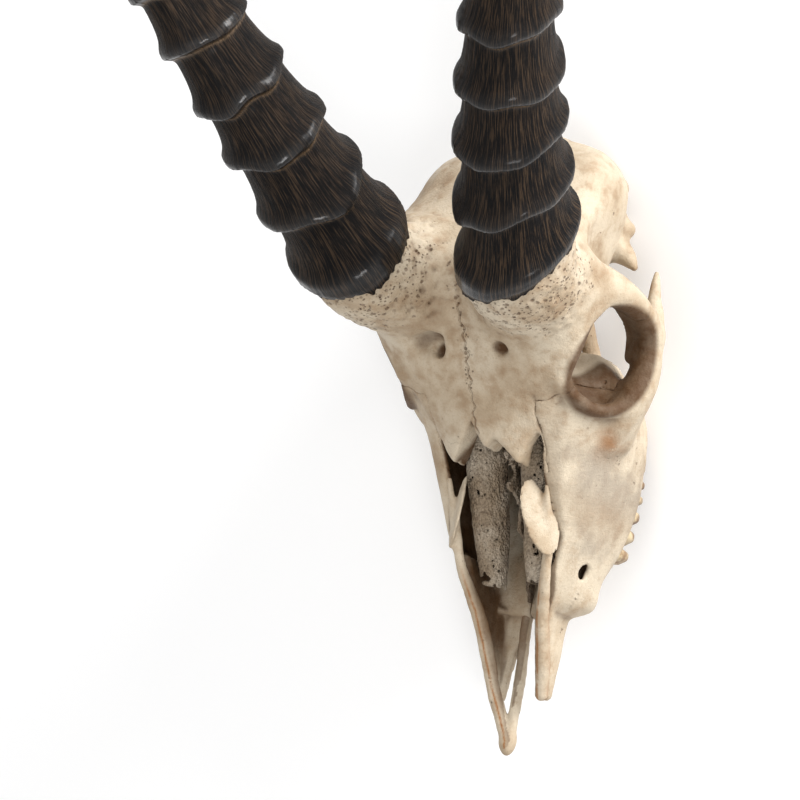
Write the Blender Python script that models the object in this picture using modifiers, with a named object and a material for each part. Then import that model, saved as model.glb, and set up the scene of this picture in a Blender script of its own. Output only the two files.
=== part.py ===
"""Skull of a male impala with its horns, resting on its cheek teeth and occipital condyles.

The skull is laid out along its palate: x runs to the skull's left, s forward from the occipital
condyles and h up from the chewing surface, all in millimetres. spot() turns these into metres,
and rest() at the end pitches the whole skull into its resting attitude on the floor.
"""
import math

import bmesh
import bpy
from mathutils import Matrix, Vector

MM = 0.001
GAP = 0.3                      # clearance between touching bones, in millimetres
FLAT_DEPTH = 0.9               # how far the lowest points are worn flat by the floor

# Grain of the fused bone, rounds of smoothing and share of its triangles that is kept
BONE_VOXEL, BONE_ROUNDS, BONE_KEEP = 1.5, 3, 0.058
BLADE_VOXEL, BLADE_ROUNDS, BLADE_KEEP = 1.0, 2, 0.075

# Driving sizes of the skull: where it rests, its palate and its nasal cavity
TOOTH_CONTACT = (107.5, 1.6)   # (s, h) of the last cheek tooth, which meets the floor
CONDYLE = (10.5, 17.0, 41.0)   # centre of the left occipital condyle
CONDYLE_RADII = (8.0, 9.5, 13.0)
PALATE = 12.0
NASAL_FLOOR = 20.0
WALL = 3.2                     # thickness of the cheek bone beside the nasal cavity
SEPTUM_HALF = 1.1              # half the thickness of the upright plate in the nose

# Driving sizes of the horns
HORN_BASE = (37.7, 77.4, 138.0)
HORN_LENGTH = 430.0
HORN_RADIUS = 24.8             # at the first ring
DEEP = 1.09                    # front to back, against the width
TAPER = 1.1                    # 1 is a straight cone, more thins the upper half
TIP_RADIUS = 2.4
TIP_BLUNTING = 0.5             # the last ring against the tip's radius
FIRST_RING = 5.0               # along the horn from its base
RING_SPACING = 25.2
RING_CLOSING = 0.99            # each gap between rings is this much of the one below
RING_COUNT = 13
RING_DEPTH = 4.2               # from a ring's crest to the valley below it
RING_REACH = 0.8               # a ring swells over this much of its gap, then steps in
HORN_SIDES = 12
LEAN = (0.707, -0.439, -0.555) # square to the left horn's base: the side where its rings rise
SEAT_RISE = 2.0                # middle of the sheath's foot above HORN_BASE
SEAT_LEAN = 0.50               # slope of the foot toward LEAN
RING_LEANS = (0.42, 0.10, 70.0)  # slope of the first ring, of the last, and how soon it fades

BONE = (0.58, 0.47, 0.34)
BONE_WARM = (0.55, 0.42, 0.28)
TURBINATE = (0.30, 0.26, 0.21)
SHEATH = (0.012, 0.010, 0.009)


def spot(x, s, h):
    """A point of the skull, from millimetres along the palate to metres, muzzle along -Y."""
    return Vector((x, -s, h)) * MM


def clear_scene():
    for thing in list(bpy.data.objects):
        bpy.data.objects.remove(thing)


def new_collection(name):
    collection = bpy.data.collections.new(name)
    bpy.context.scene.collection.children.link(collection)
    return collection


def material(name, colour, roughness):
    made = bpy.data.materials.new(name)
    made.use_nodes = True
    shader = made.node_tree.nodes["Principled BSDF"]
    shader.inputs["Base Color"].default_value = (*colour, 1.0)
    shader.inputs["Roughness"].default_value = roughness
    shader.inputs["Metallic"].default_value = 0.0
    return made


def add_mesh(name, form, collection):
    """Store a bmesh as an object in a collection, faces turned outward."""
    bmesh.ops.recalc_face_normals(form, faces=form.faces[:])
    mesh = bpy.data.meshes.new(name)
    form.to_mesh(mesh)
    form.free()
    thing = bpy.data.objects.new(name, mesh)
    collection.objects.link(thing)
    return thing


def ellipsoid(name, centre, radii, collection, turn=(0.0, 0.0, 0.0), segments=20):
    """A ball squashed to three radii (across, along, up) and turned in degrees about x, s and h."""
    form = bmesh.new()
    bmesh.ops.create_uvsphere(form, u_segments=segments, v_segments=segments // 2 + 2, radius=1.0)
    size = Matrix.Diagonal((radii[0] * MM, radii[1] * MM, radii[2] * MM, 1.0))
    spin = Matrix.Rotation(math.radians(turn[0]), 4, "X")
    spin = Matrix.Rotation(math.radians(turn[1]), 4, "Y") @ spin
    spin = Matrix.Rotation(math.radians(turn[2]), 4, "Z") @ spin
    form.transform(Matrix.Translation(spot(*centre)) @ spin @ size)
    return add_mesh(name, form, collection)


def loft(name, rings, collection):
    """Skin between rings of equal count, with both ends closed."""
    form = bmesh.new()
    rows = [[form.verts.new(point) for point in ring] for ring in rings]
    count = len(rows[0])
    for low, high in zip(rows, rows[1:]):
        for i in range(count):
            j = (i + 1) % count
            form.faces.new((low[i], low[j], high[j], high[i]))
    form.faces.new(list(reversed(rows[0])))
    form.faces.new(rows[-1])
    form.normal_update()
    bmesh.ops.triangulate(form, faces=form.faces[:], ngon_method="EAR_CLIP")
    return add_mesh(name, form, collection)


def whole_ring(s, half):
    """A closed ring at station s from the points of its left half, bottom centre to top centre."""
    left = [spot(x, s, h) for x, h in half]
    right = [spot(-x, s, h) for x, h in half[-2:0:-1]]
    return left + right


def outline_ring(s, outline):
    """A closed ring at station s from (x, h) points."""
    return [spot(x, s, h) for x, h in outline]


def mirrored(side, *points):
    """Points of the left side, moved to the wanted side (1 left, -1 right)."""
    return [(x * side, s, h) for x, s, h in points]


def rod(name, points, radii, collection, sides=2):
    """A tapering bar through points (x, s, h), as a bevelled curve made into a closed mesh."""
    curve = bpy.data.curves.new(name, "CURVE")
    curve.dimensions = "3D"
    curve.resolution_u = 5
    curve.bevel_depth = MM
    curve.bevel_resolution = sides
    curve.use_fill_caps = True
    line = curve.splines.new("BEZIER")
    line.bezier_points.add(len(points) - 1)
    for knot, point, radius in zip(line.bezier_points, points, radii):
        knot.co = spot(*point)
        knot.radius = radius
        knot.handle_left_type = "AUTO"
        knot.handle_right_type = "AUTO"
    guide = bpy.data.objects.new(name + "_curve", curve)
    collection.objects.link(guide)
    view = bpy.context.evaluated_depsgraph_get()
    mesh = bpy.data.meshes.new_from_object(guide.evaluated_get(view))
    bpy.data.objects.remove(guide)
    form = bmesh.new()
    form.from_mesh(mesh)
    bpy.data.meshes.remove(mesh)
    bmesh.ops.remove_doubles(form, verts=form.verts[:], dist=0.00001)
    return add_mesh(name, form, collection)


def prism(name, outline, x_low, x_high, collection):
    """A side view outline of (s, h) points drawn out from x_low to x_high."""
    rings = [[spot(x, s, h) for s, h in outline] for x in (x_low, x_high)]
    return loft(name, rings, collection)


def plan_prism(name, outline, h_low, h_high, collection):
    """A top view outline of (x, s) points drawn up from h_low to h_high."""
    rings = [[spot(x, s, h) for x, s in outline] for h in (h_low, h_high)]
    return loft(name, rings, collection)


def apply_modifiers(thing):
    view = bpy.context.evaluated_depsgraph_get()
    mesh = bpy.data.meshes.new_from_object(thing.evaluated_get(view))
    thing.modifiers.clear()
    old = thing.data
    thing.data = mesh
    bpy.data.meshes.remove(old)


def combine(thing, tools, operation):
    """One Boolean of a whole collection on an object, applied, with the tools then removed."""
    boolean = thing.modifiers.new(operation.lower(), "BOOLEAN")
    boolean.operation = operation
    boolean.operand_type = "COLLECTION"
    boolean.collection = tools
    boolean.solver = "MANIFOLD"
    apply_modifiers(thing)
    for tool in list(tools.objects):
        bpy.data.objects.remove(tool)


def overlap(thing, tool):
    """Keep what an object shares with one tool."""
    boolean = thing.modifiers.new("overlap", "BOOLEAN")
    boolean.operation = "INTERSECT"
    boolean.object = tool
    boolean.solver = "MANIFOLD"
    apply_modifiers(thing)
    bpy.data.objects.remove(tool)


def largest_body(thing):
    """Drop every closed surface of the mesh but the one with most volume."""
    form = bmesh.new()
    form.from_mesh(thing.data)
    loose = set(form.verts)
    bodies = []
    while loose:
        reach = [loose.pop()]
        body = set(reach)
        while reach:
            for edge in reach.pop().link_edges:
                for vertex in edge.verts:
                    if vertex in loose:
                        loose.discard(vertex)
                        body.add(vertex)
                        reach.append(vertex)
        bodies.append(body)
    bodies.sort(key=body_volume)
    for body in bodies[:-1]:
        bmesh.ops.delete(form, geom=list(body), context="VERTS")
    bmesh.ops.triangulate(form, faces=form.faces[:])
    form.to_mesh(thing.data)
    form.free()


def body_volume(body):
    """Six times the volume inside a closed set of vertices."""
    total = 0.0
    for face in {face for vertex in body for face in vertex.link_faces}:
        corners = [vertex.co for vertex in face.verts]
        for second, third in zip(corners[1:], corners[2:]):
            total += corners[0].dot(second.cross(third))
    return total


def fuse(thing, voxel, rounds, keep):
    """Melt the joined forms into one skin of bone, smooth it and thin its triangles."""
    remesh = thing.modifiers.new("melt", "REMESH")
    remesh.mode = "VOXEL"
    remesh.voxel_size = voxel * MM
    smooth = thing.modifiers.new("soften", "SMOOTH")
    smooth.factor = 0.5
    smooth.iterations = rounds
    decimate = thing.modifiers.new("thin out", "DECIMATE")
    decimate.ratio = keep
    apply_modifiers(thing)
    largest_body(thing)


def duplicate(thing, name):
    copy = bpy.data.objects.new(name, thing.data.copy())
    thing.users_collection[0].objects.link(copy)
    return copy


# Braincase: (s, half width, low, widest, high) of egg-shaped sections
BRAINCASE = (
    (12, 18, 48, 65, 77), (17, 31, 43, 72, 85), (25, 38.5, 39, 79, 94), (37, 42, 38, 85, 102),
    (50, 41, 40, 88, 108), (66, 36, 42, 88, 113), (82, 27, 45, 84, 113), (97, 20, 48, 82, 106))
SECTION_SIDES = 24

# Frontal roof: half sections from the underside's centre to the top's centre
FRONTAL = (
    (62, ((0, 78), (22, 80), (34, 91), (33, 103), (18, 111), (0, 113))),
    (72, ((0, 80), (30, 84), (47, 93), (42, 105), (22, 114), (0, 115))),
    (82, ((0, 76), (38, 78), (52, 87), (44, 101), (24, 112.5), (0, 114.5))),
    (92, ((0, 70), (38, 72), (50, 86), (40, 99), (22, 109), (0, 110.5))),
    (103, ((0, 64), (36, 68), (46, 88), (37, 97.5), (19, 102.5), (0, 104))),
    (115, ((0, 58), (33, 66), (39, 86), (30.5, 94), (15, 97), (0, 97.5))),
    (126, ((0, 60), (28, 66), (31, 82), (22, 87.5), (12, 90), (0, 90.5))),
    (138, ((0, 74), (20, 72), (24.5, 74), (19, 79), (11, 82), (0, 83))),
    (156, ((0, 69), (14, 67.5), (22, 64), (18, 68), (10, 72.5), (0, 74))))

# Rostrum: half sections from the palate's centre round the cheek to the nasal edge
ROSTRUM = (
    (97, ((0, 18), (22, 20), (29, 27), (33, 38), (33, 50), (26, 65), (0, 76))),
    (110, ((0, 12), (31, 12.5), (36, 24), (43, 43), (45, 60), (38, 82), (0, 93))),
    (124, ((0, 12), (34, 12), (39, 26), (43.5, 45), (42, 64), (31, 82), (0, 88))),
    (140, ((0, 12), (34.5, 12), (39, 28), (39, 46), (34.5, 63), (26, 71.5), (0, 76))),
    (155, ((0, 12), (33, 12), (36.5, 27), (36, 43), (32, 56), (25, 62.5), (0, 66))),
    (170, ((0, 12), (29.5, 11.5), (33.5, 24), (33, 37), (30, 47), (24, 54), (0, 57))),
    (184, ((0, 12), (26, 11.5), (30, 20), (28.5, 32), (25, 42), (20.5, 49.5), (0, 52))),
    (196, ((0, 12), (23.5, 11.5), (26.5, 17), (25, 27), (21.5, 35), (17.5, 42), (0, 45))),
    (201, ((0, 14), (13, 14), (15, 17), (17, 24), (17, 31), (15.5, 38), (0, 40))))

# Front edge of the frontals in top view, broken where the nasal bones were
NOTCH = ((25.5, 123), (24.5, 134), (19.5, 139.5), (15, 148), (10, 142.5), (6, 139), (1.6, 143.5),
         (-1.5, 138), (-3.3, 132.5), (-9, 141), (-15.4, 149), (-20, 143.5), (-24.5, 136),
         (-25.5, 129))

# Cheek teeth: (s of the centre, outer x, length) of each lobe, premolars single, molars double
LOBES = (
    (170.5, 33.0, 8.0), (162.0, 34.0, 8.5), (153.5, 34.8, 8.5), (146.0, 35.0, 6.6),
    (139.5, 34.8, 6.6), (132.5, 34.0, 7.2), (125.5, 32.6, 7.2), (118.3, 31.2, 7.4),
    (111.0, 29.6, 7.4))
TOOTH_DEPTH = 11.0             # from cheek to palate


def egg_ring(s, half_width, low, widest, high):
    """Superellipse section whose widest level lies above its middle, as a brain case has."""
    ring = []
    for i in range(SECTION_SIDES):
        angle = 2 * math.pi * i / SECTION_SIDES
        across = math.copysign(abs(math.cos(angle)) ** 0.8, math.cos(angle))
        rise = math.copysign(abs(math.sin(angle)) ** 0.8, math.sin(angle))
        reach = high - widest if rise > 0 else widest - low
        ring.append(spot(half_width * across, s, widest + reach * rise))
    return ring


def horn_axis(side):
    """Unit direction, in (x, s, h), in which a horn leaves the skull."""
    return Vector((0.274 * side, -0.553, 0.787)).normalized()


def horn_lean(side):
    """Unit direction, in (x, s, h), toward which a horn's foot and rings slope up."""
    lean = Vector((LEAN[0] * side, LEAN[1], LEAN[2]))
    axis = horn_axis(side)
    return (lean - axis * lean.dot(axis)).normalized()


def horn_seat(side):
    """Middle and unit normal, in (x, s, h), of the slanted plane where sheath and bone meet."""
    axis = horn_axis(side)
    foot = Vector(mirrored(side, HORN_BASE)[0]) + axis * SEAT_RISE
    return foot, (axis - horn_lean(side) * SEAT_LEAN).normalized()


def build_bone(parts, tools):
    """The fused bone of cranium and face, before it is parted into nodes."""
    bone = loft("bone", [egg_ring(*row) for row in BRAINCASE], parts)
    loft("frontal", [whole_ring(s, half) for s, half in FRONTAL], tools)
    loft("rostrum", [whole_ring(s, half) for s, half in ROSTRUM], tools)
    rod("base", ((0, 14, 46), (0, 34, 44), (0, 66, 47), (0, 96, 55)), (11, 11, 11, 14), tools)
    rod("sphenoid", ((0, 60, 66), (0, 88, 72), (0, 112, 74)), (20, 17, 18), tools)
    for side in (1, -1):
        add_pedicle(side, tools)
        add_rear_bones(side, tools)
        add_front_plate(side, tools)
    combine(bone, tools, "UNION")
    cut_openings(bone, tools)
    for side in (1, -1):
        add_orbit_bones(side, tools)
    combine(bone, tools, "UNION")
    fuse(bone, BONE_VOXEL, BONE_ROUNDS, BONE_KEEP)
    return bone


def add_pedicle(side, tools):
    """The stem of bone that carries the horn, thickest just under the sheath."""
    foot = Vector(mirrored(side, HORN_BASE)[0])
    axis = horn_axis(side)
    root = [Vector(knot) for knot in mirrored(side, (27, 84, 88), (30, 81.5, 106))]
    rod("pedicle", root + [foot - axis * 11, foot + axis * 16], (20, 20.5, 22.5, 22), tools, 4)


def add_orbit_bones(side, tools):
    """The rim of the eye socket with the bar behind it, and the cheek arch.

    The arch's middle is lost on the left, which leaves the jugal's spike and a temporal stub.
    """
    rod("bar", mirrored(side, (40, 77, 96), (49.5, 77.5, 89), (55.5, 79.5, 79), (58, 83, 68),
                        (57, 89, 57)), (9, 7.5, 5.6, 4.6, 5), tools)
    rod("jugal", mirrored(side, (38, 128, 46), (46, 119, 51), (53, 107, 52), (56, 93, 54),
                          (55.5, 79, 55)), (8, 7.5, 6.5, 5, 3.6), tools)
    rod("orbit_wall", mirrored(side, (49, 80, 82), (51, 84, 71), (50, 91, 60), (46, 99, 55)),
        (2.6, 3.4, 3.6, 3.6), tools)
    if side > 0:
        rod("jugal_spike", mirrored(side, (55.5, 80, 55), (54.5, 69, 55), (54, 62, 55)),
            (3.4, 2.4, 1.6), tools)
        rod("temporal_stub", mirrored(side, (28, 48, 52), (36.5, 54, 51), (41.5, 59, 51.5)),
            (6.5, 4, 2), tools)
    else:
        rod("arch", mirrored(side, (55.5, 80, 55), (52, 64, 54.5), (43, 54, 54.5), (32, 46, 58)),
            (3.6, 3.6, 4.6, 7), tools)
    rod("brow", mirrored(side, (49, 78, 90), (45.5, 93, 92), (42.8, 104, 92.3), (36.5, 115, 88)),
        (4.2, 3.5, 3.4, 3.6), tools)
    rod("rim", mirrored(side, (36, 115, 87), (39, 119.5, 76), (44, 119, 63), (50, 110, 56)),
        (3.6, 3.8, 4.2, 5), tools)
    rod("cheek", mirrored(side, (40, 128, 38), (48, 114, 46), (53, 100, 50)), (5, 5.5, 4), tools)


def add_rear_bones(side, tools):
    """Ear region, condyle, bulla, paroccipital process, nuchal crest and pterygoid wing."""
    rod("meatus", mirrored(side, (22, 39, 50), (30, 41, 50), (35, 42, 50)), (6, 5, 3.4), tools)
    ellipsoid("condyle", mirrored(side, CONDYLE)[0], CONDYLE_RADII, tools, (0, 0, -12 * side))
    ellipsoid("bulla", (17 * side, 42, 37), (6.5, 11, 9.5), tools, (0, 0, 15 * side))
    rod("paroccipital_stump", mirrored(side, (23, 25, 58), (24, 23, 50), (23.5, 22, 43)),
        (8, 6, 4.5), tools)
    rod("nuchal_crest", mirrored(side, (0, 17, 77), (14, 18, 76), (24, 23, 69), (29, 29, 58)),
        (4.5, 4, 4, 4), tools)
    rod("pterygoid", mirrored(side, (11, 62, 46), (13, 80, 34), (15, 100, 22)), (4, 4, 5), tools)


def add_front_plate(side, tools):
    """The palate's front end, a plate that narrows along the edge of the muzzle."""
    if side > 0:
        outline = ((1, 188), (20, 188), (15.5, 203), (14, 218), (13, 234), (9, 234), (8, 222),
                   (5, 210), (1, 202))
    else:
        outline = ((-1, 188), (-20, 188), (-15.5, 203), (-14, 218), (-11, 240), (-8, 237),
                   (-6.5, 226), (-5, 216), (-1, 209))
    rings = [[spot(x, s, h) for x, s in outline] for h in (13.2, 17.4)]
    loft("front_plate", rings, tools)


def cut_openings(bone, tools):
    """Eye sockets, nasal cavity, choanae, palate vault and foramina."""
    for side in (1, -1):
        ellipsoid("orbit", (49 * side, 101, 75.5), (19, 22.5, 19.5), tools,
                  (0, 24 * side, -22 * side))
        ellipsoid("orbit_depth", (36 * side, 93, 70), (18, 19, 16), tools, (0, 0, 30 * side))
        ellipsoid("temporal_pit", (52 * side, 62, 74), (14, 17, 26), tools)
        ellipsoid("supraorbital", (16.5 * side, 108, 101.5), (3.8, 6.5, 6), tools, (30, 0, 0), 12)
        rod("infraorbital", ((20 * side, 172, 34), (31 * side, 186, 30)), (2.8, 2.8), tools)
    ellipsoid("foramen_magnum", (0, 4, 58), (8.5, 22, 8.5), tools)
    loft("vault", [outline_ring(s, ((-w, 0), (w, 0), (w * 0.8, 13), (0, 16.6), (-w * 0.8, 13)))
                   for s, w in ((88, 19), (110, 20), (150, 22), (176, 18), (196, 12))], tools)
    loft("choana", [outline_ring(s, ((-10, low), (10, low), (9, high), (-9, high)))
                    for s, low, high in ((70, 14, 34), (84, 14, 42), (98, 14, 46), (110, 20, 44))],
         tools)
    cavity = [whole_ring(s, cavity_half(half)) for s, half in ROSTRUM[2:]]
    cavity.append(whole_ring(212, cavity_half(ROSTRUM[-1][1])))
    loft("nasal_cavity", cavity, tools)
    outline = list(NOTCH) + [(-22.5, 150), (-21.5, 172), (-16, 192), (-12, 215), (12, 215),
                             (16, 192), (21.5, 172), (22.5, 150)]
    plan_prism("nasal_opening", outline, NASAL_FLOOR + 2, 130, tools)
    combine(bone, tools, "DIFFERENCE")


def cavity_half(half):
    """The inside of a rostrum section, set in by the wall and open toward the top."""
    low, margin, cheek, middle, shoulder, edge, top = half
    return ((0, NASAL_FLOOR), (cheek[0] * 0.62, NASAL_FLOOR), (cheek[0] - WALL - 1, 27),
            (middle[0] - WALL, middle[1]), (shoulder[0] - WALL, shoulder[1] - 1),
            (edge[0] - WALL * 0.8, edge[1] - 3), (0, top[1] - 7))


# Where the frontals end and the face begins, in side view, at the cheek and near the midline
CHEEK_LINE = ((123.5, 140), (123.5, 86), (114, 80), (112, 56), (98, 46), (96, -5))
MIDDLE_LINE = ((150.6, 140), (150.4, 100), (150, 58), (112, 56), (98, 46), (96, -5))
FRONTAL_TONGUE = 24.8          # half width of the frontals' front end between the cheeks
FACE_SIDE = 90.0               # beyond the cheeks
FACE_FRONT = 300.0             # beyond the muzzle
ARCH_SIDE = 44.0               # the arch starts this far from the midline
ARCH_TOP = 70.0                # level of the suture between the jugal and the bar above it
ARCH_REAR = (58.0, 66.0)       # rear end of the jugal, left and right

# Upper edge of the maxilla, where the premaxilla lies on it
PREMAXILLA_LINE = ((149, 66), (156, 60.3), (172, 50), (185, 44.5), (194, 39), (206, 32),
                   (220, 23.5), (234, 17.6), (244, 10))


def region_ring(x, line, grow):
    """One side view outline of the face, at x, its rear edge moved back and up by grow."""
    edge = [(s - grow, h + grow) for s, h in line]
    edge += [(FACE_FRONT, edge[-1][1]), (FACE_FRONT, edge[0][1])]
    return [spot(x, s, h) for s, h in edge]


def face_region(sides, grow, tools):
    """The block that holds the face of the given sides; grown, it clears a gap in the cranium."""
    wall = FRONTAL_TONGUE - grow
    rings = []
    if -1 in sides:
        rings += [region_ring(-FACE_SIDE, CHEEK_LINE, grow),
                  region_ring(-wall - 0.01, CHEEK_LINE, grow),
                  region_ring(-wall, MIDDLE_LINE, grow)]
    if len(sides) == 1:
        rings.append(region_ring(sides[0] * GAP / 2, MIDDLE_LINE, grow))
    if 1 in sides:
        rings += [region_ring(wall, MIDDLE_LINE, grow),
                  region_ring(wall + 0.01, CHEEK_LINE, grow),
                  region_ring(FACE_SIDE, CHEEK_LINE, grow)]
    region = loft("face_region", rings, tools)
    arches = new_collection("arches")
    for side in sides:
        rear = ARCH_REAR[0 if side > 0 else 1] - grow
        top = ARCH_TOP + grow
        prism("arch", ((rear, top), (125, top), (125, -4), (rear, -4)),
              (ARCH_SIDE - grow) * side, (FACE_SIDE - 1) * side, arches)
    combine(region, arches, "UNION")
    bpy.data.collections.remove(arches)
    return region


def premaxilla_region(side, grow, tools):
    """The block above the maxilla's upper edge, from the nasal notch to the muzzle's tip."""
    line = [(s - grow, h - grow) for s, h in PREMAXILLA_LINE]
    outline = line + [(300, 10 - grow), (300, 100), (149 - grow, 100)]
    return prism("premaxilla_region", outline, -1 * side, 60 * side, tools)


def process_room(grow, tools):
    """The block beside the midline that holds the right premaxilla's palatine process."""
    rear, top = 200 - grow, 20 + grow
    return prism("process_room", ((rear, 9), (rear, top), (262, top), (262, 9)),
                 -5.5 - grow, 2, tools)


def build_cranium(bone, tools):
    """Braincase, frontals and pedicles: the fused bone less the face and the horns' seats."""
    cranium = duplicate(bone, "cranium")
    face_region((1, -1), GAP, tools)
    for side in (1, -1):
        seat, normal = horn_seat(side)
        rod("seat", (seat, seat + normal * 20), (34, 34), tools, 4)
    combine(cranium, tools, "DIFFERENCE")
    largest_body(cranium)
    return cranium


def build_face(bone, side, parts, tools):
    """Maxilla, lacrimal and jugal of one side with its cheek teeth."""
    face = duplicate(bone, "face_left" if side > 0 else "face_right")
    overlap(face, face_region((side,), 0.0, tools))
    premaxilla_region(side, GAP, tools)
    if side < 0:
        process_room(GAP, tools)
    combine(face, tools, "DIFFERENCE")
    for index, lobe in enumerate(LOBES):
        tooth_lobe(f"lobe_{index}", side, *lobe, tools)
    combine(face, tools, "UNION")
    largest_body(face)
    return face


def tooth_lobe(name, side, s, outer, length, tools):
    """One lobe of a cheek tooth: a block sunk in the jaw that narrows to a ridged crown."""
    crown = 0.35 + 0.0016 * (s - 140) ** 2
    rings = []
    for height, grow in ((PALATE + 6, 0.95), (PALATE - 1, 1.0), (crown + 2.5, 1.0), (crown, 0.62)):
        reach = length / 2 * grow
        inward = outer - TOOTH_DEPTH * (0.5 + 0.5 * grow)
        lean = 0.06 * (PALATE - height)
        rings.append([spot((x + lean) * side, s + along * side, height) for x, along in (
            (outer - 1.2, -reach), (outer + 0.6 * grow, 0), (outer - 1.2, reach),
            (inward + 2, reach * 0.9), (inward, 0), (inward + 2, -reach * 0.9))])
    loft(name, rings, tools)


def build_premaxilla(side, parts, tools):
    """The blade along the nasal notch; only the right one keeps its tip and palatine process."""
    name = "premaxilla_left" if side > 0 else "premaxilla_right"
    blade = ((23, 154, 62), (22.5, 164, 57), (22, 174, 51.5), (19.8, 188, 46.5),
             (15.4, 204, 35.5), (13.2, 220, 26), (11.6, 233, 19.5))
    sizes = (2.4, 3.4, 3.0, 2.8, 3.6, 3.7, 3.6)
    if side < 0:
        blade += ((6.8, 247, 15.2), (4, 254, 14.4))
        sizes += (3.2, 2.8)
    bone = rod(name, mirrored(side, *blade), sizes, parts)
    leaf = (20.4, 166, 59) if side > 0 else (-19.4, 166, 57.5)
    ellipsoid("leaf", leaf, (2.2, 15, 7.6 if side > 0 else 6), tools, (27, -40 * side, 0))
    if side < 0:
        rod("palatine_process", ((-3.0, 201, 16), (-2.3, 225, 15), (-3.0, 252, 14.2)),
            (2.4, 2.5, 2.4), tools)
        ellipsoid("tip", (-3.7, 255, 14), (3.2, 5, 3.2), tools)
    combine(bone, tools, "UNION")
    fuse(bone, BLADE_VOXEL, BLADE_ROUNDS, BLADE_KEEP)
    premaxilla_region(side, 0.0, tools)
    region = tools.objects[0]
    if side < 0:
        room = new_collection("room")
        process_room(0.0, room)
        combine(region, room, "UNION")
        bpy.data.collections.remove(room)
    overlap(bone, region)
    largest_body(bone)
    return bone


def build_concha(side, parts, tools):
    """The scroll bone that hangs in one half of the nasal cavity, joined to the cheek wall."""
    rows = ((127, 12, 57, 7, 11), (145, 13, 51, 8, 11.5), (165, 12.5, 42.5, 7.5, 10.5),
            (180, 11.5, 37.5, 6.5, 8.5), (190, 11, 34, 5.5, 6.5))
    name = "concha_left" if side > 0 else "concha_right"
    rings = []
    for s, x, h, across, up in rows:
        ring = []
        for i in range(14):
            angle = 2 * math.pi * i / 14
            tuck = 1.0 - 0.35 * math.exp(-((angle - 4.4) / 0.35) ** 2)
            ring.append(spot((x + across * tuck * math.cos(angle)) * side, s,
                             h + up * tuck * math.sin(angle)))
        rings.append(ring)
    concha = loft(name, rings, parts)
    rod("shelf", mirrored(side, (14, 150, 44), (32, 150, 41)), (4, 4), tools)
    combine(concha, tools, "UNION")
    return concha


def build_septum(parts, tools):
    """The broken upright plate along the middle of the nasal cavity, on its trough."""
    foot = NASAL_FLOOR + 3 * GAP
    outline = ((131, foot), (196, foot), (192, 26), (176, 29), (168, 40), (160, 42), (153, 55),
               (147, 50), (141, 61), (137, 57), (133, 62), (131, 58))
    return prism("septum", outline, -SEPTUM_HALF, SEPTUM_HALF, parts)


def horn_path(side):
    """Evenly spaced points and directions along a horn: back and out, then up to the tip."""
    knots = (HORN_BASE, (52.8, 45.5, 181.1), (69.4, 12.1, 221.7), (90, -28, 264),
             (109, -66, 311), (122, -97, 364), (127, -116, 422), (121, -122, 492))
    knots = [Vector(knot) for knot in mirrored(side, *knots)]
    knots = [knots[0] * 2 - knots[1]] + knots + [knots[-1] * 2 - knots[-2]]
    line = []
    for first, second, third, fourth in zip(knots, knots[1:], knots[2:], knots[3:]):
        for step in range(40):
            t = step / 40
            line.append(0.5 * (2 * second + (third - first) * t
                               + (2 * first - 5 * second + 4 * third - fourth) * t ** 2
                               + (3 * second - first - 3 * third + fourth) * t ** 3))
    line.append(knots[-2])
    return line


def point_along(line, distance):
    """The point and unit direction at a distance along a line of points."""
    walked = 0.0
    for start, end in zip(line, line[1:]):
        step = (end - start).length
        if walked + step >= distance:
            return start.lerp(end, (distance - walked) / step), (end - start).normalized()
        walked += step
    return line[-1], (line[-1] - line[-2]).normalized()


def ring_crests():
    """Distances of the ring crests along the horn, closing up toward the tip."""
    crests = [0.0, FIRST_RING]
    gap = RING_SPACING
    while len(crests) <= RING_COUNT:
        crests.append(crests[-1] + gap)
        gap *= RING_CLOSING
    return crests


def horn_radius(distance, crests):
    """Radius at the crests less the valley between rings, steep on the side near the base."""
    fraction = distance / HORN_LENGTH
    crest_radius = TIP_RADIUS + (HORN_RADIUS - TIP_RADIUS) * (1 - fraction) ** TAPER
    for low, high in zip(crests, crests[1:]):
        if low <= distance < high:
            part = (distance - low) / (high - low)
            if part < RING_REACH:
                turn = 0.5 * part / RING_REACH
            else:
                turn = 0.5 + 0.5 * (part - RING_REACH) / (1 - RING_REACH)
            fade = 1 - 0.75 * low / crests[-1]
            return crest_radius - RING_DEPTH * fade * math.sin(math.pi * turn) ** 2
    return crest_radius - RING_DEPTH * 0.1 * (1 - fraction)


def build_horn(side, parts):
    """One ringed horn sheath from its base to its tip."""
    line = horn_path(side)
    crests = ring_crests()
    stations = [SEAT_RISE + GAP * 1.15]
    for low, high in zip(crests[1:], crests[2:]):
        stations += [low + (high - low) * part for part in (0.02, 0.4, 0.74, 0.9)]
    last = crests[-1]
    stations += [last + (HORN_LENGTH - last) * part for part in (0.08, 0.3, 0.52, 0.72, 0.88, 0.985)]
    stations.append(HORN_LENGTH)
    rings = []
    front = Vector((0, 1, 0.4))
    first, last_lean, fading = RING_LEANS
    for distance in stations:
        centre, along = point_along(line, distance)
        slope = last_lean + (first - last_lean) * math.exp(-distance / fading)
        if distance == stations[0]:
            centre = Vector(mirrored(side, HORN_BASE)[0]) + horn_axis(side) * distance
            along, slope = horn_axis(side), SEAT_LEAN
        out = front - along * front.dot(along)
        out.normalize()
        across = along.cross(out)
        radius = horn_radius(distance, crests)
        if distance == HORN_LENGTH:
            radius *= TIP_BLUNTING
        ring = []
        for i in range(HORN_SIDES):
            angle = 2 * math.pi * i / HORN_SIDES
            reach = radius * (DEEP * math.cos(angle) * out + math.sin(angle) * across)
            ring.append(spot(*(centre + reach + along * slope * reach.dot(horn_lean(side)))))
        rings.append(ring)
    return loft("horn_left" if side > 0 else "horn_right", rings, parts)


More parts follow.
